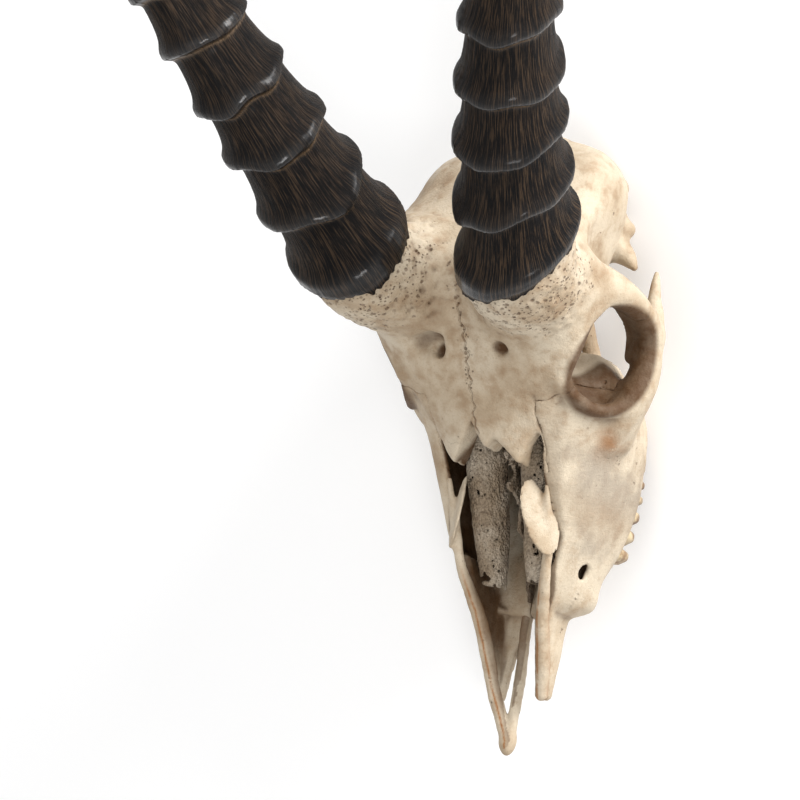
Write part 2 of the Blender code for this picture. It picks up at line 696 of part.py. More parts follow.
def rest(parts):
    """Pitch the skull back onto its last teeth and its condyles, and stand it on the floor."""
    reach = TOOTH_CONTACT[0] - CONDYLE[1]
    rise = CONDYLE[2] - TOOTH_CONTACT[1]
    tilt = math.atan2(rise, reach) - math.asin(CONDYLE_RADII[2] / math.hypot(rise, reach))
    pitch = Matrix.Rotation(-tilt, 4, "X")
    for thing in parts.objects:
        thing.data.transform(pitch)
    lowest = (pitch @ spot(0, *TOOTH_CONTACT)).z + FLAT_DEPTH * MM
    floor_cut = new_collection("floor")
    for thing in parts.objects:
        if min(vertex.co.z for vertex in thing.data.vertices) > lowest:
            continue
        form = bmesh.new()
        bmesh.ops.create_cube(form, size=1.0)
        form.transform(Matrix.Translation((0, 0, lowest - 0.5)))
        add_mesh("floor_block", form, floor_cut)
        combine(thing, floor_cut, "DIFFERENCE")
        largest_body(thing)
    bpy.data.collections.remove(floor_cut)
    corners = [vertex.co for thing in parts.objects for vertex in thing.data.vertices]
    low = Vector([min(corner[axis] for corner in corners) for axis in range(3)])
    high = Vector([max(corner[axis] for corner in corners) for axis in range(3)])
    shift = Matrix.Translation((-(low.x + high.x) / 2, -(low.y + high.y) / 2, -low.z))
    for thing in parts.objects:
        thing.data.transform(shift)
    return shift @ pitch


def main():
    clear_scene()
    parts = new_collection("impala skull")
    tools = new_collection("tools")
    bone_material = material("bone", BONE, 0.6)
    warm_material = material("bone_warm", BONE_WARM, 0.6)
    turbinate_material = material("turbinate", TURBINATE, 0.8)
    sheath_material = material("sheath", SHEATH, 0.35)
    bone = build_bone(parts, tools)
    build_cranium(bone, tools).data.materials.append(bone_material)
    for side in (1, -1):
        build_face(bone, side, parts, tools).data.materials.append(bone_material)
        build_premaxilla(side, parts, tools).data.materials.append(warm_material)
        build_concha(side, parts, tools).data.materials.append(turbinate_material)
        build_horn(side, parts).data.materials.append(sheath_material)
    build_septum(parts, tools).data.materials.append(turbinate_material)
    bpy.data.objects.remove(bone)
    bpy.data.collections.remove(tools)
    return rest(parts)


REST_MATRIX = main()
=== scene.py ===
"""Skull of a male impala with its horns, a museum's still model, seen from above and its left.

Sizes here are in millimetres along the palate: x to the skull's left, s forward from the
occipital condyles, h up from the chewing surface. world() turns them into metres on the floor.
"""
import math

import bpy
import numpy as np
from mathutils import Matrix, Vector

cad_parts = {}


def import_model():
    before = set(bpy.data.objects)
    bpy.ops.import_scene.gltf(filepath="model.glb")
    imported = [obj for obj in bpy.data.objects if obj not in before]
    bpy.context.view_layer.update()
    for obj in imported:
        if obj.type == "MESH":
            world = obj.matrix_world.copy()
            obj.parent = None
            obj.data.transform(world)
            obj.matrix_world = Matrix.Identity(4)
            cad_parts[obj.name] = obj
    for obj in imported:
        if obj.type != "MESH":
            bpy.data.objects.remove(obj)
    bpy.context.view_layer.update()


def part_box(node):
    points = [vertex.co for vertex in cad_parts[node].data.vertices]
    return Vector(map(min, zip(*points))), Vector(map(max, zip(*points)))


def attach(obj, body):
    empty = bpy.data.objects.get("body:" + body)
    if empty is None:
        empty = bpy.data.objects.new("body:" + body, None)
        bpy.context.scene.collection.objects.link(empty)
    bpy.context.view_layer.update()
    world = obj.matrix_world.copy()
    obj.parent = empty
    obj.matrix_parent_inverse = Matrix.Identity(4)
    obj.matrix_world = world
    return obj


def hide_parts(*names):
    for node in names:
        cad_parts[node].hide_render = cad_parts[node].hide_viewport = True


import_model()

# The whole skull.
# It lies as a dry skull does on a table: on its last cheek teeth and its two occipital condyles,
# which pitches the muzzle up. The nose's upright plate shows where the frame has put it.
MM = 0.001
TOOTH_S, TOOTH_H = 107.5, 1.6
CONDYLE_S, CONDYLE_H, CONDYLE_UP = 17.0, 41.0, 13.0
lever = math.hypot(CONDYLE_H - TOOTH_H, TOOTH_S - CONDYLE_S)
TILT = math.atan2(CONDYLE_H - TOOTH_H, TOOTH_S - CONDYLE_S) - math.asin(CONDYLE_UP / lever)
PLATE_REAR, PLATE_FRONT, PLATE_FOOT = 131.0, 196.0, 20.9
plate_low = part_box("septum")[0]
SHIFT_Y = plate_low.y / MM - (PLATE_FOOT * math.sin(TILT) - PLATE_FRONT * math.cos(TILT))
SHIFT_Z = plate_low.z / MM - (PLATE_REAR * math.sin(TILT) + PLATE_FOOT * math.cos(TILT))


def world(points):
    """Points (x, s, h) turned about X by the tilt, moved to the floor, and made metres."""
    points = np.asarray(points, float)
    x, s, h = points[..., 0], points[..., 1], points[..., 2]
    y = -s * math.cos(TILT) + h * math.sin(TILT) + SHIFT_Y
    z = s * math.sin(TILT) + h * math.cos(TILT) + SHIFT_Z
    return np.stack([x, y, z], axis=-1) * MM


# Fused bone.
# The bones of the braincase and face have grown together, so they are worked out as one solid:
# a grid of distances to the bone's surface, in which rounded forms melt into each other and
# hollows are cut. It is parted along the sutures afterwards, one piece to each named bone.
GRID = 1.0
X_AXIS = (np.arange(68) + 0.5) * GRID
S_AXIS = np.arange(-6, 250) * GRID
H_AXIS = np.arange(-1, 156) * GRID
FAR, SPARE = 30.0, 2           # the distance of empty space, and the rim kept round a form
CURVE_STEPS, OUTLINE_ROOM, END_ROOM = 6, 8, 6


def blend(a, b, k):
    """The smaller of two distances, rounded by k/4 (1 - gap/k)^2 where their gap is under k."""
    near = np.maximum(k - np.abs(a - b), 0) / k
    return np.minimum(a, b) - near * near * k / 4


def flow(knots, steps):
    """Catmull-Rom curve through knots: half of 2p1 + (p2-p0)t + (2p0-5p1+4p2-p3)t2 + (...)t3."""
    knots = np.asarray(knots, float)
    ends = np.concatenate([2 * knots[:1] - knots[1:2], knots, 2 * knots[-1:] - knots[-2:-1]])
    t = np.linspace(0, 1, steps, endpoint=False).reshape(1, -1, *([1] * (knots.ndim - 1)))
    p0, p1, p2, p3 = (ends[i:len(ends) - 3 + i, None] for i in range(4))
    line = 0.5 * (2 * p1 + (p2 - p0) * t + (2 * p0 - 5 * p1 + 4 * p2 - p3) * t ** 2
                  + (3 * p1 - p0 - 3 * p2 + p3) * t ** 3)
    return np.concatenate([line.reshape(-1, *knots.shape[1:]), knots[-1:]])


class Solid:
    """A grid of distances to a surface, below zero inside it."""

    def __init__(self, x_axis, s_axis, h_axis):
        self.axes = [axis.astype(np.float32) for axis in (x_axis, s_axis, h_axis)]
        self.field = np.full([len(axis) for axis in self.axes], FAR, np.float32)

    def window(self, low, high):
        """The part of the grid between two corners, and its coordinates ready to broadcast."""
        cut = tuple(slice(*np.searchsorted(axis, (a, b))) for axis, a, b
                    in zip(self.axes, low, high))
        shapes = ((-1, 1, 1), (1, -1, 1), (1, 1, -1))
        return cut, [axis[c].reshape(shape) for axis, c, shape in zip(self.axes, cut, shapes)]

    def put(self, distance, cut, k, carve=False):
        """Melt a form into the solid over k, or carve it out with an edge rounded over k."""
        if carve:
            self.field[cut] = -blend(-self.field[cut], distance, k)
        else:
            self.field[cut] = blend(self.field[cut], distance, k)

    def rod(self, knots, radii, k=3.0, carve=False):
        """A bar of changing radius: distance to each short straight run of its curve, less r."""
        path = flow(np.column_stack([knots, radii]), CURVE_STEPS)
        reach = max(radii) + max(k, SPARE) + SPARE
        cut, (x, s, h) = self.window(path[:, :3].min(0) - reach, path[:, :3].max(0) + reach)
        best = np.float32(FAR)
        for a, b in zip(path, path[1:]):
            run = b[:3] - a[:3]
            t = ((x - a[0]) * run[0] + (s - a[1]) * run[1] + (h - a[2]) * run[2]) / run.dot(run)
            t = np.clip(t, 0, 1).astype(np.float32)
            dx, ds, dh = (axis - a[i] - t * run[i] for i, axis in enumerate((x, s, h)))
            best = np.minimum(best, np.sqrt(dx * dx + ds * ds + dh * dh)
                              - (a[3] + t * (b[3] - a[3])))
        self.put(best, cut, k, carve)

    def ball(self, centre, radii, k=3.0, carve=False, turn=(0, 0, 0)):
        """A ball squashed to three radii: q(q-1)/|grad q| with q the length of point/radii."""
        reach = max(radii) + max(k, SPARE) + SPARE
        cut, (x, s, h) = self.window(np.subtract(centre, reach), np.add(centre, reach))
        spin = np.identity(3)
        for degrees, axis in zip(turn, "XYZ"):
            spin = np.array(Matrix.Rotation(math.radians(degrees), 3, axis)) @ spin
        px, py, pz = x - centre[0], -(s - centre[1]), h - centre[2]
        local = [spin[0, i] * px + spin[1, i] * py + spin[2, i] * pz for i in range(3)]
        q = np.sqrt(sum((c / r) ** 2 for c, r in zip(local, radii))) + 1e-6
        slope = np.sqrt(sum((c / r ** 2) ** 2 for c, r in zip(local, radii))) + 1e-6
        self.put((q * (q - 1) / slope).astype(np.float32), cut, k, carve)

    def loft(self, stations, outlines, k=3.0, carve=False, steps=3):
        """Closed outlines (x, h) at stations s: each slice is the distance to its own outline."""
        levels = flow(np.asarray(stations, float), CURVE_STEPS)
        shapes = flow(np.asarray(outlines, float), CURVE_STEPS)
        low = shapes.reshape(-1, 2).min(0) - OUTLINE_ROOM
        high = shapes.reshape(-1, 2).max(0) + OUTLINE_ROOM
        cut, (x, s, h) = self.window((low[0], levels[0] - END_ROOM, low[1]),
                                     (high[0], levels[-1] + END_ROOM, high[1]))
        x, h = x[:, 0], h[0]
        form = np.empty((len(x), s.size, h.size), np.float32)
        for i, at in enumerate(s.ravel()):
            place = np.interp(at, levels, np.arange(len(levels)))
            row = int(min(place, len(levels) - 2))
            ring = shapes[row] + (shapes[row + 1] - shapes[row]) * (place - row)
            ring = flow(np.concatenate([ring[-1:], ring, ring[:2]]), steps)[steps:-steps - 1]
            past = max(levels[0] - at, at - levels[-1], -FAR)
            form[:, i] = np.maximum(outline_distance(ring, x, h), past)
        self.put(form, cut, k, carve)


def outline_distance(ring, x, h):
    """Signed distance to a closed outline: to its nearest side, below zero inside (crossings)."""
    a = ring.astype(np.float32)[:, None, None]
    b = np.roll(ring, -1, axis=0).astype(np.float32)[:, None, None]
    ax, ah, bx, bh = a[..., 0], a[..., 1], b[..., 0], b[..., 1]
    ex, eh = bx - ax, bh - ah
    wx, wh = x - ax, h - ah
    t = np.clip((wx * ex + wh * eh) / (ex * ex + eh * eh + 1e-9), 0, 1)
    nearest = np.sqrt(((wx - ex * t) ** 2 + (wh - eh * t) ** 2).min(0))
    crosses = ((ah > h) != (bh > h)) & (x < ex * (h - ah) / np.where(eh == 0, 1e-9, eh) + ax)
    return np.where(crosses.sum(0) % 2 == 1, -nearest, nearest)


def mirror_ring(half):
    """A closed outline from its left half, bottom centre to top centre."""
    return list(half) + [(-x, h) for x, h in half[-2:0:-1]]


half = Solid(X_AXIS, S_AXIS, H_AXIS)

# Braincase: (s, half width, low, widest, high) of egg-shaped sections
BRAINCASE = np.array((
    (9, 11, 52, 64, 72), (12, 20, 47, 65, 77), (17, 31, 43, 72, 85), (25, 38.5, 39, 79, 94),
    (37, 42, 38, 85, 102), (50, 41, 40, 88, 108), (66, 36, 42, 88, 113), (82, 27, 45, 84, 113),
    (97, 20, 48, 82, 106)), float)
EGG, BRAIN_REAR, BRAIN_FRONT = 2.5, 8, 97
cut, (x, s, h) = half.window((0, 2, 20), (60, 104, 130))
levels = flow(BRAINCASE, 8)
width, low, widest, high = (np.interp(s, levels[:, 0], levels[:, i]) for i in range(1, 5))
rise = np.where(h > widest, high - widest, widest - low)
q = ((x / width) ** EGG + (np.abs(h - widest) / rise) ** EGG) ** (1 / EGG)
shell = (q - 1) * np.minimum(width, rise)
ends = np.maximum(BRAIN_REAR - s, s - BRAIN_FRONT)
half.put(np.maximum(shell, ends).astype(np.float32), cut, 1)

# Frontal roof and muzzle: half sections from the underside's centre to the top's centre
FRONTAL = (
    (62, ((0, 78), (22, 80), (34, 91), (33, 103), (18, 111), (0, 113))),
    (72, ((0, 80), (30, 84), (47, 93), (42, 105), (22, 114), (0, 115))),
    (82, ((0, 76), (38, 78), (52, 87), (44, 101), (24, 112.5), (0, 114.5))),
    (92, ((0, 70), (38, 72), (50, 86), (40, 99), (22, 109), (0, 110.5))),
    (103, ((0, 64), (36, 68), (46, 88), (37, 97.5), (19, 102.5), (0, 104))),
    (115, ((0, 58), (33, 66), (39, 86), (30.5, 94), (15, 97), (0, 97.5))),
    (126, ((0, 60), (28, 66), (31, 82), (22, 87.5), (12, 90), (0, 90.5))),
    (138, ((0, 74), (20, 72), (24.5, 74), (19, 79), (11, 82), (0, 83))),
    (156, ((0, 69), (14, 67.5), (22, 64), (18, 68), (10, 72.5), (0, 74))))
ROSTRUM = (
    (97, ((0, 18), (22, 20), (29, 27), (33, 38), (33, 50), (26, 65), (0, 76))),
    (110, ((0, 12), (31, 10), (36.5, 21), (43, 43), (45, 60), (38, 82), (0, 93))),
    (124, ((0, 12), (35, 9), (39.8, 22), (43.5, 45), (42, 64), (31, 82), (0, 88))),
    (140, ((0, 12), (35.8, 8.5), (39.6, 23), (39, 46), (34.5, 63), (26, 71.5), (0, 76))),
    (155, ((0, 12), (34.8, 8.6), (37.4, 22), (36, 43), (32, 56), (25, 62.5), (0, 66))),
    (170, ((0, 12), (31.5, 9.4), (34.2, 20), (33, 37), (30, 47), (24, 54), (0, 57))),
    (184, ((0, 12), (26, 11.5), (30, 20), (28.5, 32), (25, 42), (20.5, 49.5), (0, 52))),
    (196, ((0, 12), (23.5, 11.5), (26.5, 17), (25, 27), (21.5, 35), (17.5, 42), (0, 45))),
    (201, ((0, 14), (13, 14), (15, 17), (17, 24), (17, 31), (15.5, 38), (0, 40))))
for sections in (FRONTAL, ROSTRUM):
    half.loft([s for s, ring in sections], [mirror_ring(ring) for s, ring in sections], 2)
half.rod(((0, 14, 46), (0, 34, 44), (0, 66, 47), (0, 96, 55)), (11, 11, 11, 14), 6)
half.rod(((0, 60, 66), (0, 88, 72), (0, 112, 74)), (20, 17, 18), 6)

# Pedicle, the stem of bone under each horn, which spreads smoothly into the frontal
HORN_BASE = np.array((37.7, 77.4, 138.0))
HORN_AXIS = np.array((0.274, -0.553, 0.787))
HORN_AXIS /= np.linalg.norm(HORN_AXIS)
LEAN = np.array((0.707, -0.439, -0.555))
LEAN -= HORN_AXIS * LEAN.dot(HORN_AXIS)
LEAN /= np.linalg.norm(LEAN)
SEAT_RISE, SEAT_LEAN = 2.0, 0.50
half.rod(((27, 82, 88), (30, 81, 106), HORN_BASE - 11 * HORN_AXIS, HORN_BASE + 16 * HORN_AXIS),
         (18, 19.5, 22, 22), 26)

# Ear region, bulla, condyle, crest of the neck muscles and pterygoid wing
half.rod(((22, 39, 50), (30, 41, 50), (35, 42, 50)), (6, 5, 3.4), 4)
half.ball((10.5, 17, 41), (8, 9.5, 13), 3, turn=(0, 0, -12))
half.ball((17, 42, 37), (6.5, 11, 9.5), 2, turn=(0, 0, 15))
half.rod(((23, 25, 58), (24, 23, 50), (23.5, 22, 43)), (8, 6, 4.5), 4)
half.rod(((0, 17, 77), (14, 18, 76), (24, 23, 69), (29, 29, 58)), (4.5, 4, 4, 4), 6)
half.rod(((11, 62, 46), (13, 80, 34), (15, 100, 22)), (4, 4, 5), 3)

# Eye socket, temporal fossa, foramina and palate vault
half.ball((49.5, 102, 74.5), (19, 24, 20.5), 2, True, (0, 24, -22))
half.ball((36, 93, 70), (18, 19, 16), 3, True, (0, 0, 30))
half.ball((52, 62, 74), (14, 17, 26), 6, True)
half.rod(((20, 172, 34), (31, 186, 30)), (2.6, 2.6), 1.5, True)
half.ball((0, 4, 58), (8.5, 22, 8.5), 2, True)
half.loft((88, 110, 150, 176, 196), [((-w, 0), (w, 0), (w * 0.8, 13), (0, 16.6), (-w * 0.8, 13))
                                     for w in (19, 20, 22, 18, 12)], 2, True, 1)
half.loft((70, 84, 98, 110), [((-10, a), (10, a), (9, b), (-9, b)) for a, b in
                              ((14, 34), (14, 42), (14, 46), (20, 44))], 3, True, 2)

# Rim of the eye socket, the bar behind it, and the cheek arch
half.rod(((40, 77, 96), (49.5, 77.5, 89), (55.5, 79.5, 79), (58, 83, 68), (57, 89, 57)),
         (9, 7.5, 5.6, 4.6, 5), 5)
half.rod(((38, 128, 46), (46, 119, 51), (53, 107, 52), (56, 93, 54), (55.5, 79, 55)),
         (8, 7.5, 6.5, 5, 3.6), 4)
half.rod(((49, 78, 90), (45.5, 93, 92), (42.8, 104, 92.3), (36.5, 115, 88)),
         (4.2, 3.5, 3.4, 3.6), 3)
half.rod(((36, 115.5, 87), (39.5, 121.5, 77), (44.5, 123, 66), (49.5, 118, 57.5), (53, 109, 54)),
         (3.4, 3.0, 3.0, 3.6, 4.4), 3)
half.rod(((40, 128, 38), (48, 114, 46), (53, 100, 50)), (5, 5.5, 4), 5)

# Outer wall of the eye socket, a plate that runs in from the rim: bars, each with its inset
ORBIT_RIM = np.array(((55.5, 80.5, 79), (57.5, 84, 69), (56.5, 89, 59), (52, 98, 54)))
ORBIT_INWARD = np.array((0.86, 0.18, 0.38))
half.rod(((56, 80, 79), (57.5, 83, 69), (57, 88, 59), (53, 97, 53)), (3.4, 3.2, 3.2, 3.4), 3)
for inset, thick in ((3.5, 2.9), (7, 2.5), (10.5, 2.2), (13.5, 1.9)):
    half.rod(ORBIT_RIM - ORBIT_INWARD * inset, (thick,) * 4, 2)

# Nasal cavity, inside the wall of the muzzle and open toward the top
WALL, NASAL_FLOOR, CAVITY_FRONT = 2.6, 20.0, 212


def cavity_ring(ring):
    """The inside of a muzzle section, set in by the wall and open toward the top."""
    cheek, middle, shoulder, edge, top = ring[2:]
    inside = ((0, NASAL_FLOOR), (cheek[0] * 0.62, NASAL_FLOOR), (cheek[0] - WALL - 1, 27),
              (middle[0] - WALL, middle[1]), (shoulder[0] - WALL, shoulder[1] - 1),
              (edge[0] - WALL * 0.8, edge[1] - 3), (0, top[1] - 7))
    return mirror_ring(inside)


half.loft([s for s, ring in ROSTRUM[2:]] + [CAVITY_FRONT],
          [cavity_ring(ring) for s, ring in ROSTRUM[2:] + ROSTRUM[-1:]], 1, True)

# Both halves together
x_full = np.concatenate([-X_AXIS[::-1], X_AXIS])
bone = Solid(x_full, S_AXIS, H_AXIS)
bone.field = np.concatenate([half.field[::-1], half.field])

# What differs from side to side: the arch's middle is lost on the left, and the palate's end
bone.rod(((55.5, 80, 55), (54.5, 69, 55), (54, 62, 55)), (3.4, 2.4, 1.4), 3)
bone.rod(((28, 48, 52), (36.5, 54, 51), (41.5, 59, 51.5)), (6.5, 4, 1.6), 4)
bone.rod(((-55.5, 80, 55), (-52, 64, 54.5), (-43, 54, 54.5), (-32, 46, 58)),
         (3.6, 3.6, 4.6, 7), 4)


def plan_cut(solid, outline, h_low, h_high, k, carve):
    """A top view outline of (x, s) points, drawn up from h_low to h_high."""
    ring = np.asarray(outline, float)
    cut, (x, s, h) = solid.window((*ring.min(0) - END_ROOM, h_low - END_ROOM),
                                  (*ring.max(0) + END_ROOM, h_high + END_ROOM))
    flat = outline_distance(ring, x[:, :, 0], s[0].T).astype(np.float32)[:, :, None]
    solid.put(np.maximum(flat, np.maximum(h_low - h, h - h_high)), cut, k, carve)


# The supraorbital pits, a wide one on the right and a shallow one on the left
bone.ball((-18, 106.5, 103), (7.5, 4.2, 4.6), 4, True, (20, 0, 24))
bone.ball((-14, 108.5, 100.5), (3.2, 3.4, 5.5), 2, True)
bone.ball((15, 108, 102), (3.6, 2.8, 3.6), 3, True)

# Thin plates at the front of the palate, one on each side
for plate in (((1, 188), (20, 188), (15.5, 203), (14, 218), (13, 234), (9, 234), (8, 222),
               (5, 210), (1, 202)),
              ((-1, 188), (-20, 188), (-15.5, 203), (-14, 218), (-11, 240), (-8, 237),
               (-6.5, 226), (-5, 216), (-1, 209))):
    plan_cut(bone, plate, 13.2, 17.4, 2, False)

# Side walls between those plates and the premaxillae
WALL_TOP = np.array(((20.6, 183, 42), (16.2, 203, 33.5), (13.6, 219, 24), (11.8, 233, 18)))
WALL_FOOT = np.array(((20.4, 184, 15.5), (15, 203, 15.5), (12.8, 219, 15.4), (11.5, 233, 15.2)))
WALL_RADII, WALL_BARS = (1.7, 1.7, 1.6, 1.3), np.linspace(0, 0.95, 7)
for side in (1, -1):
    for share in WALL_BARS:
        bone.rod((WALL_TOP * (1 - share) + WALL_FOOT * share) * (side, 1, 1), WALL_RADII, 2)

# Front edge of the frontals, broken where the nasal bones were
NOTCH = ((25.5, 123), (24.5, 134), (19.5, 139.5), (15, 148), (10, 142.5), (6, 139), (1.6, 143.5),
         (-1.5, 138), (-3.3, 132.5), (-9, 141), (-15.4, 149), (-20, 143.5), (-24.5, 136),
         (-25.5, 129))
plan_cut(bone, NOTCH + ((-22.5, 150), (-21.5, 172), (-16, 192), (-12, 215), (12, 215), (16, 192),
                        (21.5, 172), (22.5, 150)), NASAL_FLOOR + 2, 130, 1, True)

# Bones of the skull.
# Cranium, the two cheeks and the two blades of the muzzle are dry bone. They meet at sutures,
# fine wandering seams, so each is the fused solid cut along its own line in the side view.
SEAM = -0.2                    # half of the seam's width; the edges' rounding opens it again


def lattice_noise(axes, size, seed):
    """Smooth noise: random values on a coarse lattice, eased by 3t^2 - 2t^3 on each axis."""
    counts = [int((axis[-1] - axis[0]) / size) + 3 for axis in axes]
    values = np.random.default_rng(seed).uniform(-1, 1, counts).astype(np.float32)
    for i, axis in enumerate(axes):
        place = (axis - axis[0]) / size
        row = place.astype(int)
        t = place - row
        t = t * t * (3 - 2 * t)
        pick = np.zeros((len(axis), counts[i]), np.float32)
        pick[np.arange(len(axis)), row] = 1 - t
        pick[np.arange(len(axis)), row + 1] = t
        values = np.moveaxis(np.tensordot(pick, values, (1, i)), 0, i)
    return values


def uneven(axes, *waves):
    """The sum of several smooth noises, each given by its height, size and seed."""
    return sum(height * lattice_noise(axes, size, seed) for height, size, seed in waves)


def soften(values, reach):
    """Mean of each value and its neighbours within reach cells, along each axis in turn."""
    for i in range(3):
        total = np.cumsum(np.pad(values, [(reach + 1, reach) if j == i else (0, 0)
                                          for j in range(3)], mode="edge"), axis=i)
        take = [slice(None)] * 3
        back = [slice(None)] * 3
        take[i], back[i] = slice(2 * reach + 1, None), slice(None, -2 * reach - 1)
        values = (total[tuple(take)] - total[tuple(back)]) / (2 * reach + 1)
    return values.astype(np.float32)


# Uneven all over, rougher where the horns stand, and cut flat just above the floor
ROUGH_FOOT, ROUGH_REACH, ROUGH_FADE = (34, 85, 128), 26, 10
FLOOR_GAP = 0.05
WIDE, FINE = 6, 2              # how far round a point its hollow and its crease are felt
bone.field = 0.5 * bone.field + 0.5 * soften(bone.field, 1)
bone.field += uneven(bone.axes, (0.28, 14, 1), (0.16, 6, 2), (0.10, 2.6, 3))
gx, gs, gh = np.ix_(*bone.axes)
from_foot = np.sqrt((np.abs(gx) - ROUGH_FOOT[0]) ** 2 + (gs - ROUGH_FOOT[1]) ** 2
                    + (gh - ROUGH_FOOT[2]) ** 2)
bone.field += (np.clip(1 - (from_foot - ROUGH_REACH) / ROUGH_FADE, 0, 1)
               * uneven(bone.axes, (0.55, 2.1, 4), (0.4, 4, 5)))
floor_depth = FLOOR_GAP - (gs * math.sin(TILT) + gh * math.cos(TILT) + SHIFT_Z)
bone.field = np.maximum(bone.field, floor_depth)
# How much solid lies round each point, wide and near: the bone's colour darkens with these as
# painted shade
hollow_wide, hollow_fine = (soften((bone.field < 0).astype(np.float32), reach)
                            for reach in (WIDE, FINE))


def skin(field, axes):
    """Surface of a distance grid: one point in each cell that the surface crosses, at the mean
    of the crossings on its twelve edges, and a square across each grid edge that it crosses."""
    field = np.pad(field, 1, constant_values=FAR)
    step = [float(axis[1] - axis[0]) for axis in axes]
    start = np.array([axis[0] - d for axis, d in zip(axes, step)])
    inside = field < 0
    total = np.zeros(np.subtract(field.shape, 1), np.int8)
    for c in np.ndindex(2, 2, 2):
        total += inside[tuple(slice(k, n - 1 + k) for k, n in zip(c, field.shape))]
    cells = np.argwhere((total > 0) & (total < 8))
    number = np.full(total.shape, -1, np.int32)
    number[tuple(cells.T)] = np.arange(len(cells))
    points = np.zeros((len(cells), 3))
    hits = np.zeros((len(cells), 1))
    for axis in range(3):
        for u, v in np.ndindex(2, 2):
            first = np.insert((u, v), axis, 0)
            second = np.insert((u, v), axis, 1)
            a = field[tuple((cells + first).T)]
            b = field[tuple((cells + second).T)]
            crossed = ((a < 0) != (b < 0))[:, None]
            place = (first + np.eye(3)[axis] * (a / np.where(a == b, 1, a - b))[:, None])
            points += np.where(crossed, place, 0)
            hits += crossed
    points = (points / hits + cells) * step + start
    quads = []
    for axis in range(3):
        before = inside[tuple(slice(0, -1) if i == axis else slice(1, -1) for i in range(3))]
        after = inside[tuple(slice(1, None) if i == axis else slice(1, -1) for i in range(3))]
        for kind in (False, True):
            edges = np.argwhere((before == kind) & (after != kind))
            u, v = [i for i in range(3) if i != axis]
            round_edge = ((0, 0), (1, 0), (1, 1), (0, 1))
            if kind == (axis != 1):
                round_edge = round_edge[::-1]
            ring = []
            for du, dv in round_edge:
                cell = edges.copy()
                cell[:, u] += du
                cell[:, v] += dv
                ring.append(number[tuple(cell.T)])
            quads.append(np.stack(ring, axis=1))
    return points, np.concatenate(quads)


def largest(points, faces):
    """The biggest connected body: each point takes its neighbours' lowest label until all agree."""
    label = np.arange(len(points))
    sides = np.concatenate([faces[:, [i, (i + 1) % faces.shape[1]]] for i in range(faces.shape[1])])
    while True:
        lowest = np.minimum(label[sides[:, 0]], label[sides[:, 1]])
        new = label.copy()
        np.minimum.at(new, sides[:, 0], lowest)
        np.minimum.at(new, sides[:, 1], lowest)
        new = new[new]
        if (new == label).all():
            break
        label = new
    kept = label == np.bincount(label).argmax()
    order = np.cumsum(kept) - 1
    return points[kept], order[faces[kept[faces[:, 0]]]]


def sample(values, axes, points):
    """Values of a grid at points, weighted between the eight nearest."""
    place = np.stack([(points[:, i] - axis[0]) / (axis[1] - axis[0])
                      for i, axis in enumerate(axes)], axis=1)
    place = np.clip(place, 0, np.subtract(values.shape, 1.001))
    row = place.astype(int)
    t = place - row
    result = np.zeros(len(points))
    for c in np.ndindex(2, 2, 2):
        weight = np.prod(np.where(c, t, 1 - t), axis=1)
        result += weight * values[tuple((row + c).T)]
    return result


def build(name, points, faces, marks, replaced, finish):
    """A smooth mesh with its point values, riding on the skull in place of its CAD nodes."""
    mesh = bpy.data.meshes.new(name)
    mesh.from_pydata(world(points), [], faces if isinstance(faces, list) else faces.tolist())
    mesh.shade_smooth()
    for key, values in marks.items():
        mark = mesh.attributes.new(key, "FLOAT", "POINT")
        mark.data.foreach_set("value", np.asarray(values, np.float32))
    mesh.materials.append(finish)
    piece = bpy.data.objects.new(name, mesh)
    bpy.context.scene.collection.objects.link(piece)
    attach(piece, "root")
    if replaced:
        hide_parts(*replaced)
    return piece


class Socket:
    """A shader value that can be written in sums: each operator adds its Math node."""

    def __init__(self, tree, link):
        self.tree, self.link = tree, link

    def node(self, kind, settings=(), **inputs):
        """Any node of the tree: its settings are made first, then its inputs set or linked."""
        made = self.tree.nodes.new("ShaderNode" + kind)
        for key, value in dict(settings).items():
            setattr(made, key, value)
        for key, value in inputs.items():
            socket = made.inputs[int(key[1:])] if key[1:].isdigit() else made.inputs[
                key.replace("_", " ")]
            if isinstance(value, Socket):
                self.tree.links.new(value.link, socket)
            else:
                socket.default_value = value
        return made

    def sum(self, operation, first, second=0.0, clamp=False):
        """One Math node on one or two values."""
        made = self.node("Math", {"operation": operation, "use_clamp": clamp},
                         i0=first, i1=second)
        return Socket(self.tree, made.outputs[0])

    def __add__(self, other):
        return self.sum("ADD", self, other)

    def __radd__(self, other):
        return self.sum("ADD", other, self)

    def __sub__(self, other):
        return self.sum("SUBTRACT", self, other)

    def __rsub__(self, other):
        return self.sum("SUBTRACT", other, self)

    def __mul__(self, other):
        return self.sum("MULTIPLY", self, other)

    def __rmul__(self, other):
        return self.sum("MULTIPLY", other, self)

    def __abs__(self):
        return self.sum("ABSOLUTE", self)

    def band(self, low, high):
        """0 below low, 1 above high and smooth between them; turned over if high is the lower."""
        made = self.node("MapRange", {"interpolation_type": "SMOOTHSTEP"}, Value=self,
                         From_Min=min(low, high), From_Max=max(low, high),
                         To_Min=float(high < low), To_Max=float(high > low))
        return Socket(self.tree, made.outputs[0])

    def mix(self, first, second):
        """Colour first where this value is 0, second where it is 1."""
        made = self.node("Mix", {"data_type": "RGBA"}, i0=self, i6=first, i7=second)
        return Socket(self.tree, made.outputs[2])


def start_material(name):
    """A new material, its shader, a socket to write sums with, and the place on the object."""
    made = bpy.data.materials.new(name)
    made.use_nodes = True
    base = Socket(made.node_tree, None)
    place = Socket(base.tree, base.node("TexCoord").outputs["Object"])
    return made, made.node_tree.nodes["Principled BSDF"], base, place


